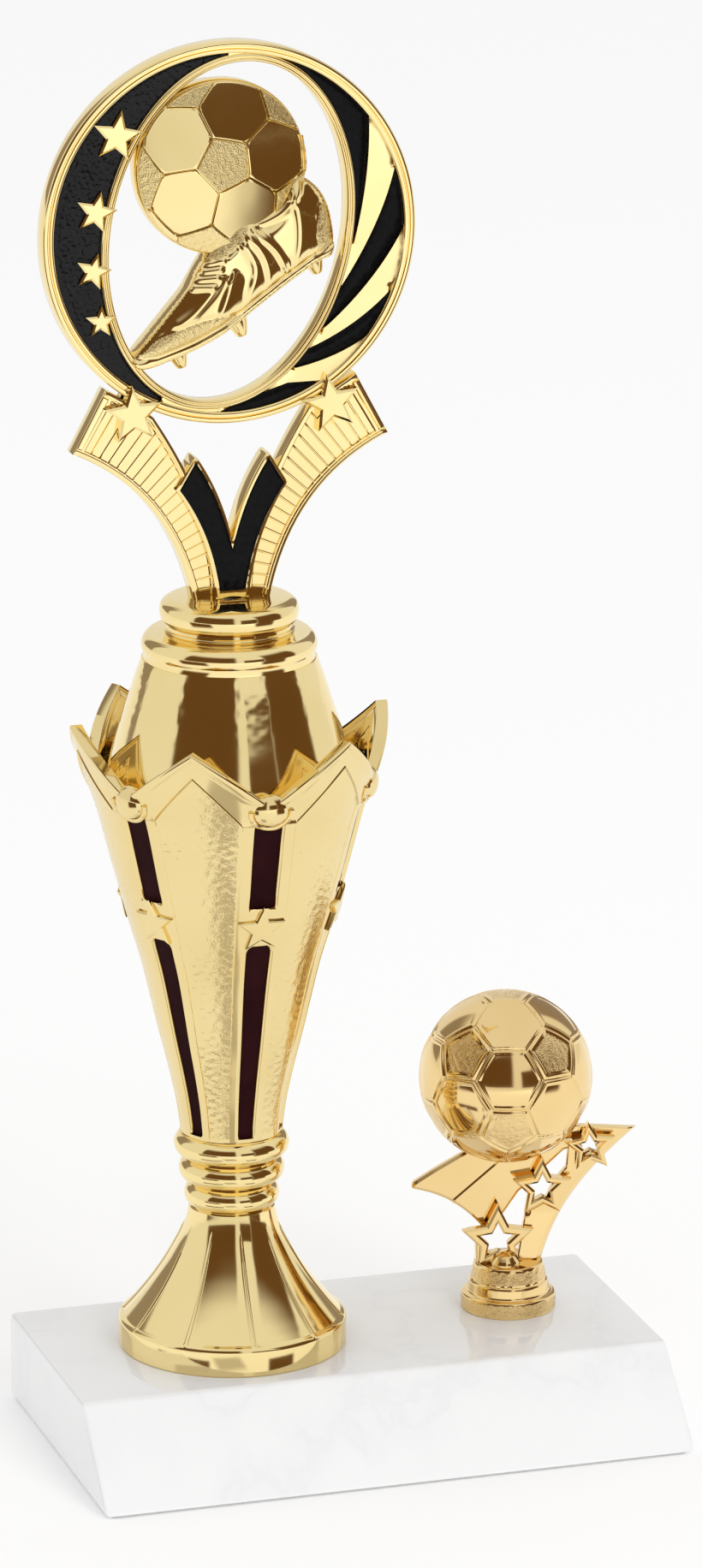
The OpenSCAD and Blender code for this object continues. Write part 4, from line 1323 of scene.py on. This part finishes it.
def visible_panel(corners, edge=0.985):
    """Outline of a panel in the flattened relief, cut at a circle just inside the ball's outline."""
    line = []
    for a, b in zip(corners, np.roll(corners, -1, 0)):
        line += [a + (b - a) * t for t in np.arange(10) / 10]
    line = np.array(line)
    line = relief_spot(line / np.linalg.norm(line, axis=1)[:, None])
    good = np.linalg.norm(line, axis=1) < edge * BALL_R
    if good.sum() < 4:
        return None
    start = next((i for i in range(len(line)) if good[i] and not good[i - 1]), 0)
    line, good = np.roll(line, -start, 0), np.roll(good, -start)
    kept = line[good]
    if not good.all():
        a0, a1 = (math.atan2(p[1], p[0]) for p in (kept[-1], kept[0]))
        sweep_by = (a1 - a0 + math.pi) % (2 * math.pi) - math.pi
        turns = a0 + sweep_by * np.linspace(0, 1, 9)
        kept = np.concatenate([kept, edge * BALL_R * np.column_stack([np.cos(turns), np.sin(turns)])])
    return kept


def inset(loop, distance):
    """Convex outline moved inwards."""
    normal = left_normals(loop, True)
    towards = np.sign(((loop.mean(0) - loop) * normal).sum())
    return loop + normal * distance * towards


def make_figure_ball():
    """Shallow relief ball: panels on a core with thin seams between, its pentagons pebbled."""
    turn = relief_turn()
    seam, soft = 0.13, 0.2
    rounding = (0.07, soft, soft + 0.12, soft + 0.3)
    core = fill([circle(BALL_R, (0, 0), 160)], 1.2, rings=(0.12, 0.3, 0.55, 0.85))
    far = np.linalg.norm(core[0], axis=1)
    h = BALL_FACE - 0.75 - FACET_SLOPE * BALL_FALL * np.maximum(0, far - BALL_FLAT)
    h = rounded_height(outline_distance(core[0], core[3]), h, 0.85)
    parts = [plate(core, h, -h)]
    slots = [0] * len(parts[0][1])
    for corners, centre, pentagon in ball_faces():
        loop = visible_panel(corners @ turn.T)
        if loop is None:
            continue
        filled = fill([inset(loop, seam)], 0.4 if pentagon else 0.8, rings=rounding)
        flat = filled[0]
        edge = np.clip(1 - outline_distance(flat, filled[3]) / soft, 0, 1)
        h = facet_height(flat, centre @ turn.T) - soft * (1 - np.sqrt(1 - edge ** 2))
        if pentagon:
            h = h + 0.06 * pebbles(flat, 0.7, 31) * (edge == 0)
        part = both_sides(plate(filled, h, h - 1.0))
        parts.append(part)
        slots += [int(pentagon)] * len(part[1])
    points, faces = join(*parts)
    part = in_ring_plane((points + [*BALL_UW, 0], faces))
    add("relief_ball", part, [gold, gold_pebbled], "figure_ball", sharp=45, face_slots=slots)


BOOT = spline([(-20.4, -23.8), (-16.6, -19.2), (-12.3, -14.2), (-9.3, -10.6), (-7.5, -7.2), (-5.9, -4.6),
               (-4.2, -1.8), (-1.4, 1.0), (1.0, 4.6), (2.6, 4.4), (4.1, 2.7), (6.6, 4.0), (8.8, 6.6),
               (10.7, 9.8), (11.6, 12.1),
               (12.9, 12.6), (14.4, 11.2), (16.8, 9.8), (19.0, 7.6), (20.7, 4.4), (21.6, 0.2), (21.8, -3.0),
               (21.2, -5.4), (19.6, -6.2), (16.8, -7.6), (11.3, -11.2), (4.5, -16.0), (-1.1, -20.1),
               (-7.9, -23.4),
               (-13.5, -25.4), (-17.6, -26.6), (-20, -26.2)], 4, closed=True)
SOLE_LINE = spline([(-19.4, -25.0), (-15.9, -24.3), (-7.9, -21.7), (-1.1, -18.3), (4.5, -14.4), (11.3, -9.6),
                    (16.8, -6.0), (21.2, -3.6)], 5)
TOE_BAND = [(-20, -24), (-15.8, -20.3), (-11.5, -18.5), (-7.2, -17.1), (-2.9, -16.4), (1.4, -16.4),
            (-1.1, -18.3), (-7.9, -21.7), (-15.9, -24.3)]
HEEL_PATCH = [(18.1, 5.2), (19.9, 5.8), (20.9, 1.5), (21.1, -2.4), (20.2, -4.1), (17.7, -5.2), (17.2, 0)]
TONGUE = [(-5.4, -4.5), (-4.1, -1.8), (-1.3, 1.0), (1.1, 4.4), (2.7, 4.2), (3.6, 2.6), (3.2, 0.6),
          (1.6, -1.9), (-1.2, -4.0), (-3.2, -5.2)]
COLLAR = [(3.7, 1.9), (7.0, 2.6), (10.6, 4.6), (13.4, 8.2), (14.0, 11.0)]
STRIPES = [[(1.8, -2.0), (4.3, -6.6), (3.6, -11.4), (2.0, -16.2)],
           [(3.0, -0.2), (6.2, -4.6), (7.4, -9.2), (6.8, -12.6)],
           [(4.4, 0.6), (8.4, -3.0), (10.6, -6.6), (11.8, -9.2)],
           [(12.2, 7.6), (13.5, 3.0), (13.7, -2.0), (13.0, -7.4)],
           [(-0.8, -9.4), (-1.6, -12.2), (-2.6, -15.2), (-3.6, -18.4)]]
STRIPE_REACH = [3.2, 2.8, 1.0, 2.8, 3.0]
VAMP = [(-8.2, -9.4), (-12.4, -14.9), (-17.4, -20.8), (-19.6, -23.6)]
CREASE = [(-11.6, -17.6), (-8.1, -15.2), (-4.4, -11.2), (-2.6, -9.0)]
LACES = [[(-5.4, -5.6), (-2.2, -4.9)], [(-6.2, -7.2), (-2.8, -6.7)], [(-7.2, -8.8), (-3.6, -8.4)],
         [(-8.2, -10.4), (-4.6, -10.2)]]
STUDS = [(2.1, -18.9), (-10.6, -24.6), (18.0, -7.0)]
STUD_LEAN = math.radians(20)
BOOT_DEPTH = (cad_box("boot")[1][1] - cad_box("boot")[0][1]) / 2
SOLE_DEPTH = 3.4  # least half depth of the strip under the sole line


def relax(values, tris, fixed, rounds):
    """Averages values with those of their neighbours, except at fixed points."""
    pairs = np.concatenate([tris[:, [0, 1]], tris[:, [1, 2]], tris[:, [2, 0]]])
    pairs = np.concatenate([pairs, pairs[:, ::-1]])
    count = np.maximum(np.bincount(pairs[:, 0], minlength=len(values)), 1)
    for _ in range(rounds):
        near = np.bincount(pairs[:, 0], weights=values[pairs[:, 1]], minlength=len(values)) / count
        values = np.where(fixed, values, 0.4 * values + 0.6 * near)
    return values


def make_boot():
    """Relief football boot: upper, tongue, laces, stripes, heel and toe patches, sole strip and studs."""
    filled = fill([BOOT], 0.27, rings=(0.1, 0.25, 0.42), jitter=0.0)
    flat, tris = filled[0], filled[1]
    edge = outline_distance(flat, filled[3])
    swell = relax(np.clip(edge / 4.0, 0, 1), tris, edge < 0.5, 30)
    h = 1.9 + (BOOT_DEPTH - 3.0) * swell ** 0.6
    above = shape_sign(flat, np.concatenate([SOLE_LINE, [(26, -3), (26, 20), (-26, 20), (-26, -25)]]))
    on_upper = smooth_step(0.3, 1.3, above)
    for line in (VAMP, CREASE):
        h = h + 0.45 * bell(line_distance(flat, spline(line, 5)), 0.9) * on_upper
    for line, reach in zip(STRIPES, STRIPE_REACH):
        line = spline(line, 5)
        away = line_distance(flat, line)
        slope = np.clip(1 - away / reach, 0, 1)
        h = h + 0.7 * np.where(right_of(flat, line), slope, bell(away, 0.5)) * on_upper
    for line in LACES:
        h = h + 0.75 * bell(line_distance(flat, line), 0.5)
    h = h + 0.8 * bell(line_distance(flat, spline(COLLAR, 5)), 0.8)
    h = np.where(above < 0.3, np.maximum(h, SOLE_DEPTH), h)
    h = h - 0.35 * bell(above - 0.3, 0.4)
    h = np.where(edge < 0.6, rounded_height(edge, h, 0.6), h)
    patches = [np.array(shape, float) for shape in (TOE_BAND, HEEL_PATCH, TONGUE)]
    grainy = np.max([shape_sign(flat, shape) for shape in patches], axis=0)
    h = h - 0.2 * bell(grainy, 0.3)
    h = relax(h, tris, edge < 0.1, 4) + 0.07 * pebbles(flat, 0.75, 33) * smooth_step(0.2, 0.6, grainy)
    body = plate(filled, h, -h)
    parts = join(body, *[boot_stud(u, w) for u, w in STUDS])
    slots = np.zeros(len(parts[1]), int)
    slots[:2 * len(tris)] = np.tile((grainy > 0.1)[tris].all(1), 2)
    add("relief_boot", in_ring_plane(parts), [gold, gold_pebbled], "boot", sharp=60, face_slots=slots)


def right_of(points, line):
    """Whether each point lies to the right of a line drawn downwards."""
    middles = (line[1:] + line[:-1]) / 2
    closest = np.linalg.norm(points[:, None] - middles[None], axis=2).argmin(1)
    step = (line[1:] - line[:-1])[closest]
    off = points - line[:-1][closest]
    return step[:, 0] * off[:, 1] - step[:, 1] * off[:, 0] > 0


def boot_stud(u, w):
    """A short tapered stud that leans with the sole."""
    axis = np.array([math.sin(STUD_LEAN), -math.cos(STUD_LEAN)])
    side = np.array([math.cos(STUD_LEAN), math.sin(STUD_LEAN)])
    profile = [(2.3, -1.6), (2.0, 0.2), (1.5, 1.7), (1.15, 2.6), (0.95, 2.85)]
    a = np.linspace(0, 2 * math.pi, 24, endpoint=False)
    rows = []
    for r, t in profile:
        uw = np.array([u, w])[None] + axis[None] * t + side[None] * (r * np.cos(a))[:, None]
        rows.append(np.column_stack([uw, r * np.sin(a)]))
    return np.concatenate(rows), tube_faces(len(profile), len(a))


# ---- Trim figure --------------------------------------------------------------------------------

def make_trim_pedestal():
    """Stepped cone with two pebbled bands and a small grooved dome on its deck."""
    deck = TRIM_DECK - BASE_TOP
    line = [(9.8, 0.0), (10.0, 0.2), (10.0, 3.0), (9.85, 3.45), (9.5, 3.65), (8.95, 3.75), (8.7, 3.95),
            (8.4, 6.1), (8.25, 6.35), (8.0, 6.5), (7.4, 9.9), (7.2, 10.25), (6.9, deck)]
    dense = [line[0]]
    for a, b in zip(line, line[1:]):
        steps = max(1, math.ceil(math.dist(a, b) / 0.4))
        shares = [k / steps for k in range(1, steps + 1)]
        dense += [(a[0] + (b[0] - a[0]) * t, a[1] + (b[1] - a[1]) * t) for t in shares]
    profile = np.concatenate([dense, [(0.2, deck), (0.2, 8.4), (3.7, 8.2), (3.7, 0.0)]])
    segments = 150
    points, faces = lathe(profile, TRIM, BASE_TOP, segments)
    grainy = np.array([(0.3 < z < 3.1 and r > 9) or (6.7 < z < 9.8 and r > 7) for r, z in profile])
    grain = 0.09 * pebbles(points, 0.75, 41) * np.repeat(grainy, segments)
    points = points + from_axis(points, TRIM)[0] * grain[:, None]
    row_of = np.array([f[0] // segments for f in faces])
    rough = grainy[row_of] & grainy[(row_of + 1) % len(profile)]
    la, lo = ball_grid(0, 88, 14, 40)
    grooves = 1 - 0.03 * bell(np.degrees(la) - 32, 4) - 0.03 * bell(np.degrees(la) - 60, 4)
    ways = np.stack([np.cos(la) * np.cos(lo), np.cos(la) * np.sin(lo), np.sin(la)], -1)
    dome = 3.2 * grooves[..., None] * ways
    dome = dome.reshape(-1, 3) + [TRIM[0] - 1.6, TRIM[1] - 2.6, TRIM_DECK - 0.3]
    part = join((points, faces), (dome, tube_faces(*la.shape)))
    slots = np.zeros(len(part[1]), int)
    slots[:len(rough)] = rough
    add("trim_stand", part, [gold_trim, gold_trim_pebbled], "trim_pedestal", sharp=45, face_slots=slots)


def cube_ball(n):
    """Unit directions and quads of an even ball."""
    step = np.tan(np.linspace(-math.pi / 4, math.pi / 4, n))
    spots = np.stack(np.meshgrid(step, step, indexing="ij"), -1).reshape(-1, 2)
    parts = []
    for axis in range(3):
        for sign in (1, -1):
            p = np.insert(spots, axis, sign, axis=1)
            faces = grid_faces(n, n, wrap_columns=False)
            a, b, c = (p[faces[0][k]] for k in range(3))
            if np.cross(b - a, c - a) @ a < 0:
                faces = faces[:, ::-1]
            parts.append((p, faces))
    points, faces = join(*parts)
    ways = points / np.linalg.norm(points, axis=1)[:, None]
    keys = np.round(ways * 1e6).astype(np.int64)
    _, first, index = np.unique(keys, axis=0, return_index=True, return_inverse=True)
    return ways[first], index.ravel()[np.array(faces)]


def make_trim_ball():
    """Full ball with slightly flat panels, double seams and pebbled pentagons."""
    ways, faces = cube_ball(124)
    hexagon_out = direction(-15.5, 14.5)
    below = nearest(PENTAGONS, HEXAGONS[0], skip=2)
    turn = turn_to(HEXAGONS[0], hexagon_out, below, np.array([0, 0, -1.0]) + hexagon_out * 0.3)
    seam, pentagon, flat = panel_field(ways, turn)
    low, high = cad_box("trim_ball")
    radius = (high[0] - low[0]) / 2
    groove = -0.34 * np.clip(1 - (seam / 0.017) ** 2, 0, 1) - 0.05
    ridge = 0.05 * bell(seam - 0.024, 0.006)
    dip = -0.17 * smooth_step(0.03, 0.05, seam) - 0.25 * (1 - np.minimum(flat * 1.045, 1)) * radius * 0.5
    grain = 0.07 * (pebbles(ways * radius, 0.75, 43) - 1) * pentagon * smooth_step(0.05, 0.07, seam)
    points = TRIM_BALL + ways * (radius + groove + ridge + dip + grain)[:, None]
    slots = (pentagon & (seam > 0.05))[faces].all(1).astype(int)
    looks = [gold_trim, gold_trim_pebbled]
    add("trim_football", (points, faces), looks, "trim_ball", sharp=80, face_slots=slots)


TRIM_STARS = [(-2.5, BASE_TOP + 15.2, 8.0, 90), (6.9, BASE_TOP + 26.6, 6.5, 90),
              (17.0, BASE_TOP + 35.5, 5.7, 95)]  # (u, w, radius, turn)


def make_trim_stars():
    """Open stars with bevelled bands and a plain leg, standing in front of the leg and the wing."""
    deep, front, chamfer = -1.0, 2.7, 0.45
    low = TRIM_DECK - 0.6
    parts = []
    for u, w, r, turn in TRIM_STARS:
        points, faces = star_solid((u, w), r, turn, deep, front, chamfer, 0.5, 0.5)
        under = points[:, 1] < low
        share = (w - low) / np.maximum(w - points[:, 1], 1e-6)
        points[under, :2] = (u, w) + (points[under, :2] - (u, w)) * share[under, None]
        parts.append((points, faces))
    leg = [(-7.0, low), (-7.2, BASE_TOP + 15.2), (-4.4, BASE_TOP + 14.2), (-4.6, low)]
    leg_front = [(-6.6, low), (-6.8, BASE_TOP + 14.8), (-4.8, BASE_TOP + 13.9), (-5.0, low)]
    points = [(u, w, d) for line, d in ((leg, deep), (leg, 1.2), (leg_front, 1.8)) for u, w in line]
    parts.append((np.array(points), tube_faces(3, 4)))
    add("open_stars", in_trim_plane(join(*parts)), [gold_trim], "trim_stars", sharp=15)


def make_trim_swoosh():
    """Curved leg with a broad bevel along its outer edge, opened behind the stars."""
    outer = curve((7, 10.4), (9.9, 20), (16.6, 28.1), 14)
    tip = curve((16.6, 28.1), (21.4, 33.8), (27.1, 38.6), 10)
    inner = np.array([(1.8, 10.4), (2.8, 16), (3.6, 20.4), (7.5, 22.5), (9.5, 27), (12.2, 30.2), (12.6, 34.5),
                      (13.4, 39.6)])
    edge_line = np.concatenate([outer, tip[1:]]) + [0, BASE_TOP]
    loop = np.concatenate([edge_line, inner[::-1] + [0, BASE_TOP]])
    holes = [star(r * 0.5, turn, (u, w), 0.5) for u, w, r, turn in TRIM_STARS]
    holes = [hole for hole in holes if inside(hole, [loop]).all()]
    bevel = 1.2
    creases = np.split(offset_rows(edge_line, bevel, False), 2)
    filled = fill([loop] + holes, 0.8, rings=(0.25,), lines=creases)
    flat = filled[0]
    from_edge = line_distance(flat, edge_line)
    soft = np.clip(outline_distance(flat, filled[3]) / 0.25, 0, 1)
    front = -1.3 + 1.1 * np.clip(from_edge / bevel, 0, 1) - 0.25 * (1 - soft)
    front = front - 0.05 * np.clip(from_edge - bevel, 0, 4)
    front = front + 0.12 * np.clip(BASE_TOP + 21 - flat[:, 1], 0, 10.6)
    part = in_trim_plane(plate(filled, front, -2.2 - 0.2 * soft))
    add("swoosh_leg", part, [gold_trim], "trim_swoosh", sharp=30)


def make_trim_wing():
    """Wing of two flat facets with a step along the fold and bevelled edges."""
    low = curve((-20.6, 26.4), (-11, 24.6), (-5.3, 17), 14)
    right = [(-2.4, 18.2), (-0.6, 20.8), (2.2, 25.0), (4.6, 27.0), (8.4, 30.8), (11.8, 34.0), (13.2, 34.4),
             (13.4, 37.4)]
    high = [(0, 38), (-8.9, 34.5), (-16, 30.4), (-20.4, 27.6)]
    loop = soften(np.concatenate([low, right, high]) + [0, BASE_TOP], 0.5, 3)
    fold = np.array([(-12.2, 23.2 + BASE_TOP), (-1.4, 32.6 + BASE_TOP)])
    along = (fold[1] - fold[0]) / np.linalg.norm(fold[1] - fold[0])
    across = np.array([along[1], -along[0]])
    soft, bevel = 0.2, 0.6
    line = np.linspace(fold[0] - along * 3, fold[1] + along * 6, 24)
    filled = fill([loop], 0.9, rings=(0.12, bevel), lines=[line], beside=soft)
    flat = filled[0]
    side = (flat - fold[0]) @ across
    edge = np.clip(outline_distance(flat, filled[3]) / bevel, 0, 1)
    blend = np.clip(side / (2 * soft) + 0.5, 0, 1)
    left, right = -0.72 + 0.03 * np.clip(-side, 0, 8), -0.45 - 0.03 * np.clip(side, 0, 9)
    front = left + (right - left) * blend - 0.5 * (1 - edge)
    add("wing", in_trim_plane(plate(filled, front, -2.2)), [gold_trim], "trim_wing", sharp=20)


# ---- Parts kept from CAD ------------------------------------------------------------------------

def finish_cad_parts():
    """Materials for the hidden fasteners, which keep their CAD meshes."""
    looks = dict.fromkeys(("rod", "rod_washer", "rod_nut", "figure_nut", "trim_screw", "trim_washer"), steel)
    looks["trim_insert"] = brass
    for node, look in looks.items():
        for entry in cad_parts[node].material_slots:
            entry.material = look


# ---- Stage, light and camera --------------------------------------------------------------------

def make_floor():
    """Wide pale floor with a faint glow of its own."""
    a = np.linspace(0, 2 * math.pi, 96, endpoint=False)
    radii = (0.0001, 60, 200, 600, 2000, 9000)
    rows = [np.column_stack([r * np.cos(a), r * np.sin(a), np.zeros(len(a))]) for r in radii]
    made, _, _, shader = material("pale_floor")
    set_inputs(shader, Base_Color=(0.95, 0.95, 0.95, 1), Roughness=1.0, Specular_IOR_Level=0.0)
    set_inputs(shader, Emission_Color=(1, 1, 1, 1), Emission_Strength=0.12)
    mesh_object("floor", np.concatenate(rows), grid_faces(len(radii), len(a)), [made])


def make_world():
    """Even white surround."""
    world = bpy.data.worlds.new("studio")
    bpy.context.scene.world = world
    world.use_nodes = True
    set_inputs(world.node_tree.nodes["Background"], Color=(1, 1, 1, 1), Strength=0.84)


def flag_material():
    """Brown cloth that gives the gold its dark reflections, fading out towards the ends of a flag."""
    made = bpy.data.materials.new("brown_flag")
    made.use_nodes = True
    nodes, links = made.node_tree.nodes, made.node_tree.links
    nodes.clear()
    out = nodes.new("ShaderNodeOutputMaterial")
    glow = nodes.new("ShaderNodeEmission")
    clear = nodes.new("ShaderNodeBsdfTransparent")
    mix = nodes.new("ShaderNodeMixShader")
    fade = nodes.new("ShaderNodeAttribute")
    fade.attribute_name = "fade"
    set_inputs(glow, Color=(0.13, 0.066, 0.023, 1))
    links.new(fade.outputs["Fac"], mix.inputs["Fac"])
    links.new(glow.outputs["Emission"], mix.inputs[1])
    links.new(clear.outputs["BSDF"], mix.inputs[2])
    links.new(mix.outputs["Shader"], out.inputs["Surface"])
    return made


def flag(name, points, faces, fade):
    """A card that only reflections see."""
    piece = mesh_object(name, points, faces, [flag_material()])
    layer = piece.data.attributes.new("fade", "FLOAT", "POINT")
    layer.data.foreach_set("value", fade)
    for rays in ("camera", "diffuse", "transmission", "volume_scatter", "shadow"):
        setattr(piece, "visible_" + rays, False)


FLAG_REACH = 2600.0  # distance of the far cards


def card(name, centre, radius, azimuth, z, solid):
    """A flag over a grid of radii, azimuths in degrees and heights; solid is 1 where it is opaque."""
    radius, azimuth, z, solid = np.broadcast_arrays(radius, azimuth, z, solid)
    points = round_axis(centre, radius, np.radians(azimuth), z).reshape(-1, 3)
    flag(name, points, grid_faces(*solid.shape, wrap_columns=False), 1 - solid.ravel())


def side_fade(azimuth, soft):
    """Rises from 0 at both ends of a row of azimuths to 1 inside."""
    return smooth_step(0, soft, np.minimum(azimuth - azimuth[0], azimuth[-1] - azimuth))


def standing_flag(name, start, end, top, soft_side=4.0, low=0.0, soft_top=0.38, strength=1.0):
    """Curved upright card between two azimuths and two elevations, soft at its sides and top."""
    elevation, azimuth = np.linspace(low, top, 24)[:, None], np.linspace(start, end, 40)
    solid = side_fade(azimuth, soft_side) * smooth_step(top, top * (1 - soft_top), elevation) * strength
    z = 150 + FLAG_REACH * np.tan(np.radians(elevation))
    card(name, (0, 0), FLAG_REACH, azimuth, z, solid)


def lying_flag(name, start, end, near=300, far=FLAG_REACH, strength=1.0):
    """Sector on the floor round the base, soft at its sides and at its inner end."""
    radius, azimuth = np.geomspace(near, far, 14)[:, None], np.linspace(start, end, 24)
    solid = side_fade(azimuth, 5) * smooth_step(near, near * 1.3, radius) * strength
    card(name, (0, 0), radius, azimuth, 1.0, solid)


def low_card(name, start, end):
    """Short card beside the base that the band of the foot mirrors."""
    azimuth = np.linspace(start, end, 24)
    card(name, COLUMN, 72.0, azimuth, np.array([[1.0], [13.0]]), side_fade(azimuth, 2))


def make_flags():
    """Dark cards left and right of the camera, and lighter ones behind the object."""
    standing_flag("flag_left", -78, -6, 55, low=1)
    standing_flag("flag_right", 28, 80, 55, low=-3.2)
    standing_flag("flag_low", 2, 30, 20, soft_side=0.5, soft_top=0.1)
    standing_flag("flag_back_left", -164, -132, 50, strength=0.75)
    standing_flag("flag_back_right", 122, 152, 50, strength=0.75)
    lying_flag("flag_floor_left", -86, -44)
    lying_flag("flag_floor_right", 23, 63)
    lying_flag("flag_near", -45, -16, near=80, far=170, strength=0.5)
    low_card("card_left", -84, -34)
    low_card("card_right", 13, 38)


def make_window():
    """Large soft window right of the camera, which reflections don't see."""
    data = bpy.data.lights.new("window", "AREA")
    data.shape = "RECTANGLE"
    data.size, data.size_y = 0.9, 1.4
    data.energy = 13
    lamp = bpy.data.objects.new("window", data)
    towards = Vector(direction(13, 22))
    lamp.location = towards * 2300 * MM + Vector((0, 0, 0.15))
    lamp.rotation_mode = "QUATERNION"
    lamp.rotation_quaternion = towards.to_track_quat("Z", "Y")
    lamp.visible_camera = False
    lamp.visible_glossy = False
    bpy.context.scene.collection.objects.link(lamp)


CAMERA_AZIMUTH, CAMERA_ELEVATION, CAMERA_DISTANCE = -17.209, 15.898, 1556.2
CAMERA_AIM = np.array([-2.8, 0.0, 141.6])
FOCAL_SHARE = 4.8348253  # focal length over the sensor's long side
AIM_RIGHT, AIM_DOWN = 0.00196446, 0.00059837  # small turn away from the aim, as slopes


def make_camera():
    """Long lens from the left front, looking down at the trophy."""
    back = direction(CAMERA_AZIMUTH, CAMERA_ELEVATION)
    azimuth = math.radians(CAMERA_AZIMUTH)
    right = np.array([math.cos(azimuth), math.sin(azimuth), 0.0])
    view = -back + right * AIM_RIGHT - np.cross(back, right) * AIM_DOWN
    data = bpy.data.cameras.new("camera")
    data.sensor_width = 36
    data.lens = FOCAL_SHARE * data.sensor_width
    data.clip_end = 50
    camera = bpy.data.objects.new("camera", data)
    bpy.context.scene.collection.objects.link(camera)
    camera.location = (CAMERA_AIM + back * CAMERA_DISTANCE) * MM
    camera.rotation_mode = "QUATERNION"
    camera.rotation_quaternion = Vector(view).to_track_quat("-Z", "Y")
    bpy.context.scene.camera = camera


def build():
    """Makes everything, the stage first."""
    stage = (make_camera, make_world, make_floor, make_window, make_flags)
    riser = (make_marble_base, make_felt, make_foot, make_neck_beads, make_cup, make_cup_stars,
             make_valley_bosses, make_liner, make_dome, make_cap, make_plinth)
    figure = (make_stem, make_v, make_ring_rims, make_web, make_black_fields, make_ring_stars,
              make_figure_ball, make_boot)
    trim = (make_trim_pedestal, make_trim_ball, make_trim_stars, make_trim_swoosh, make_trim_wing)
    for make in stage + riser + figure + trim:
        make()
    finish_cad_parts()


build()
bpy.context.scene.view_settings.view_transform = "Standard"
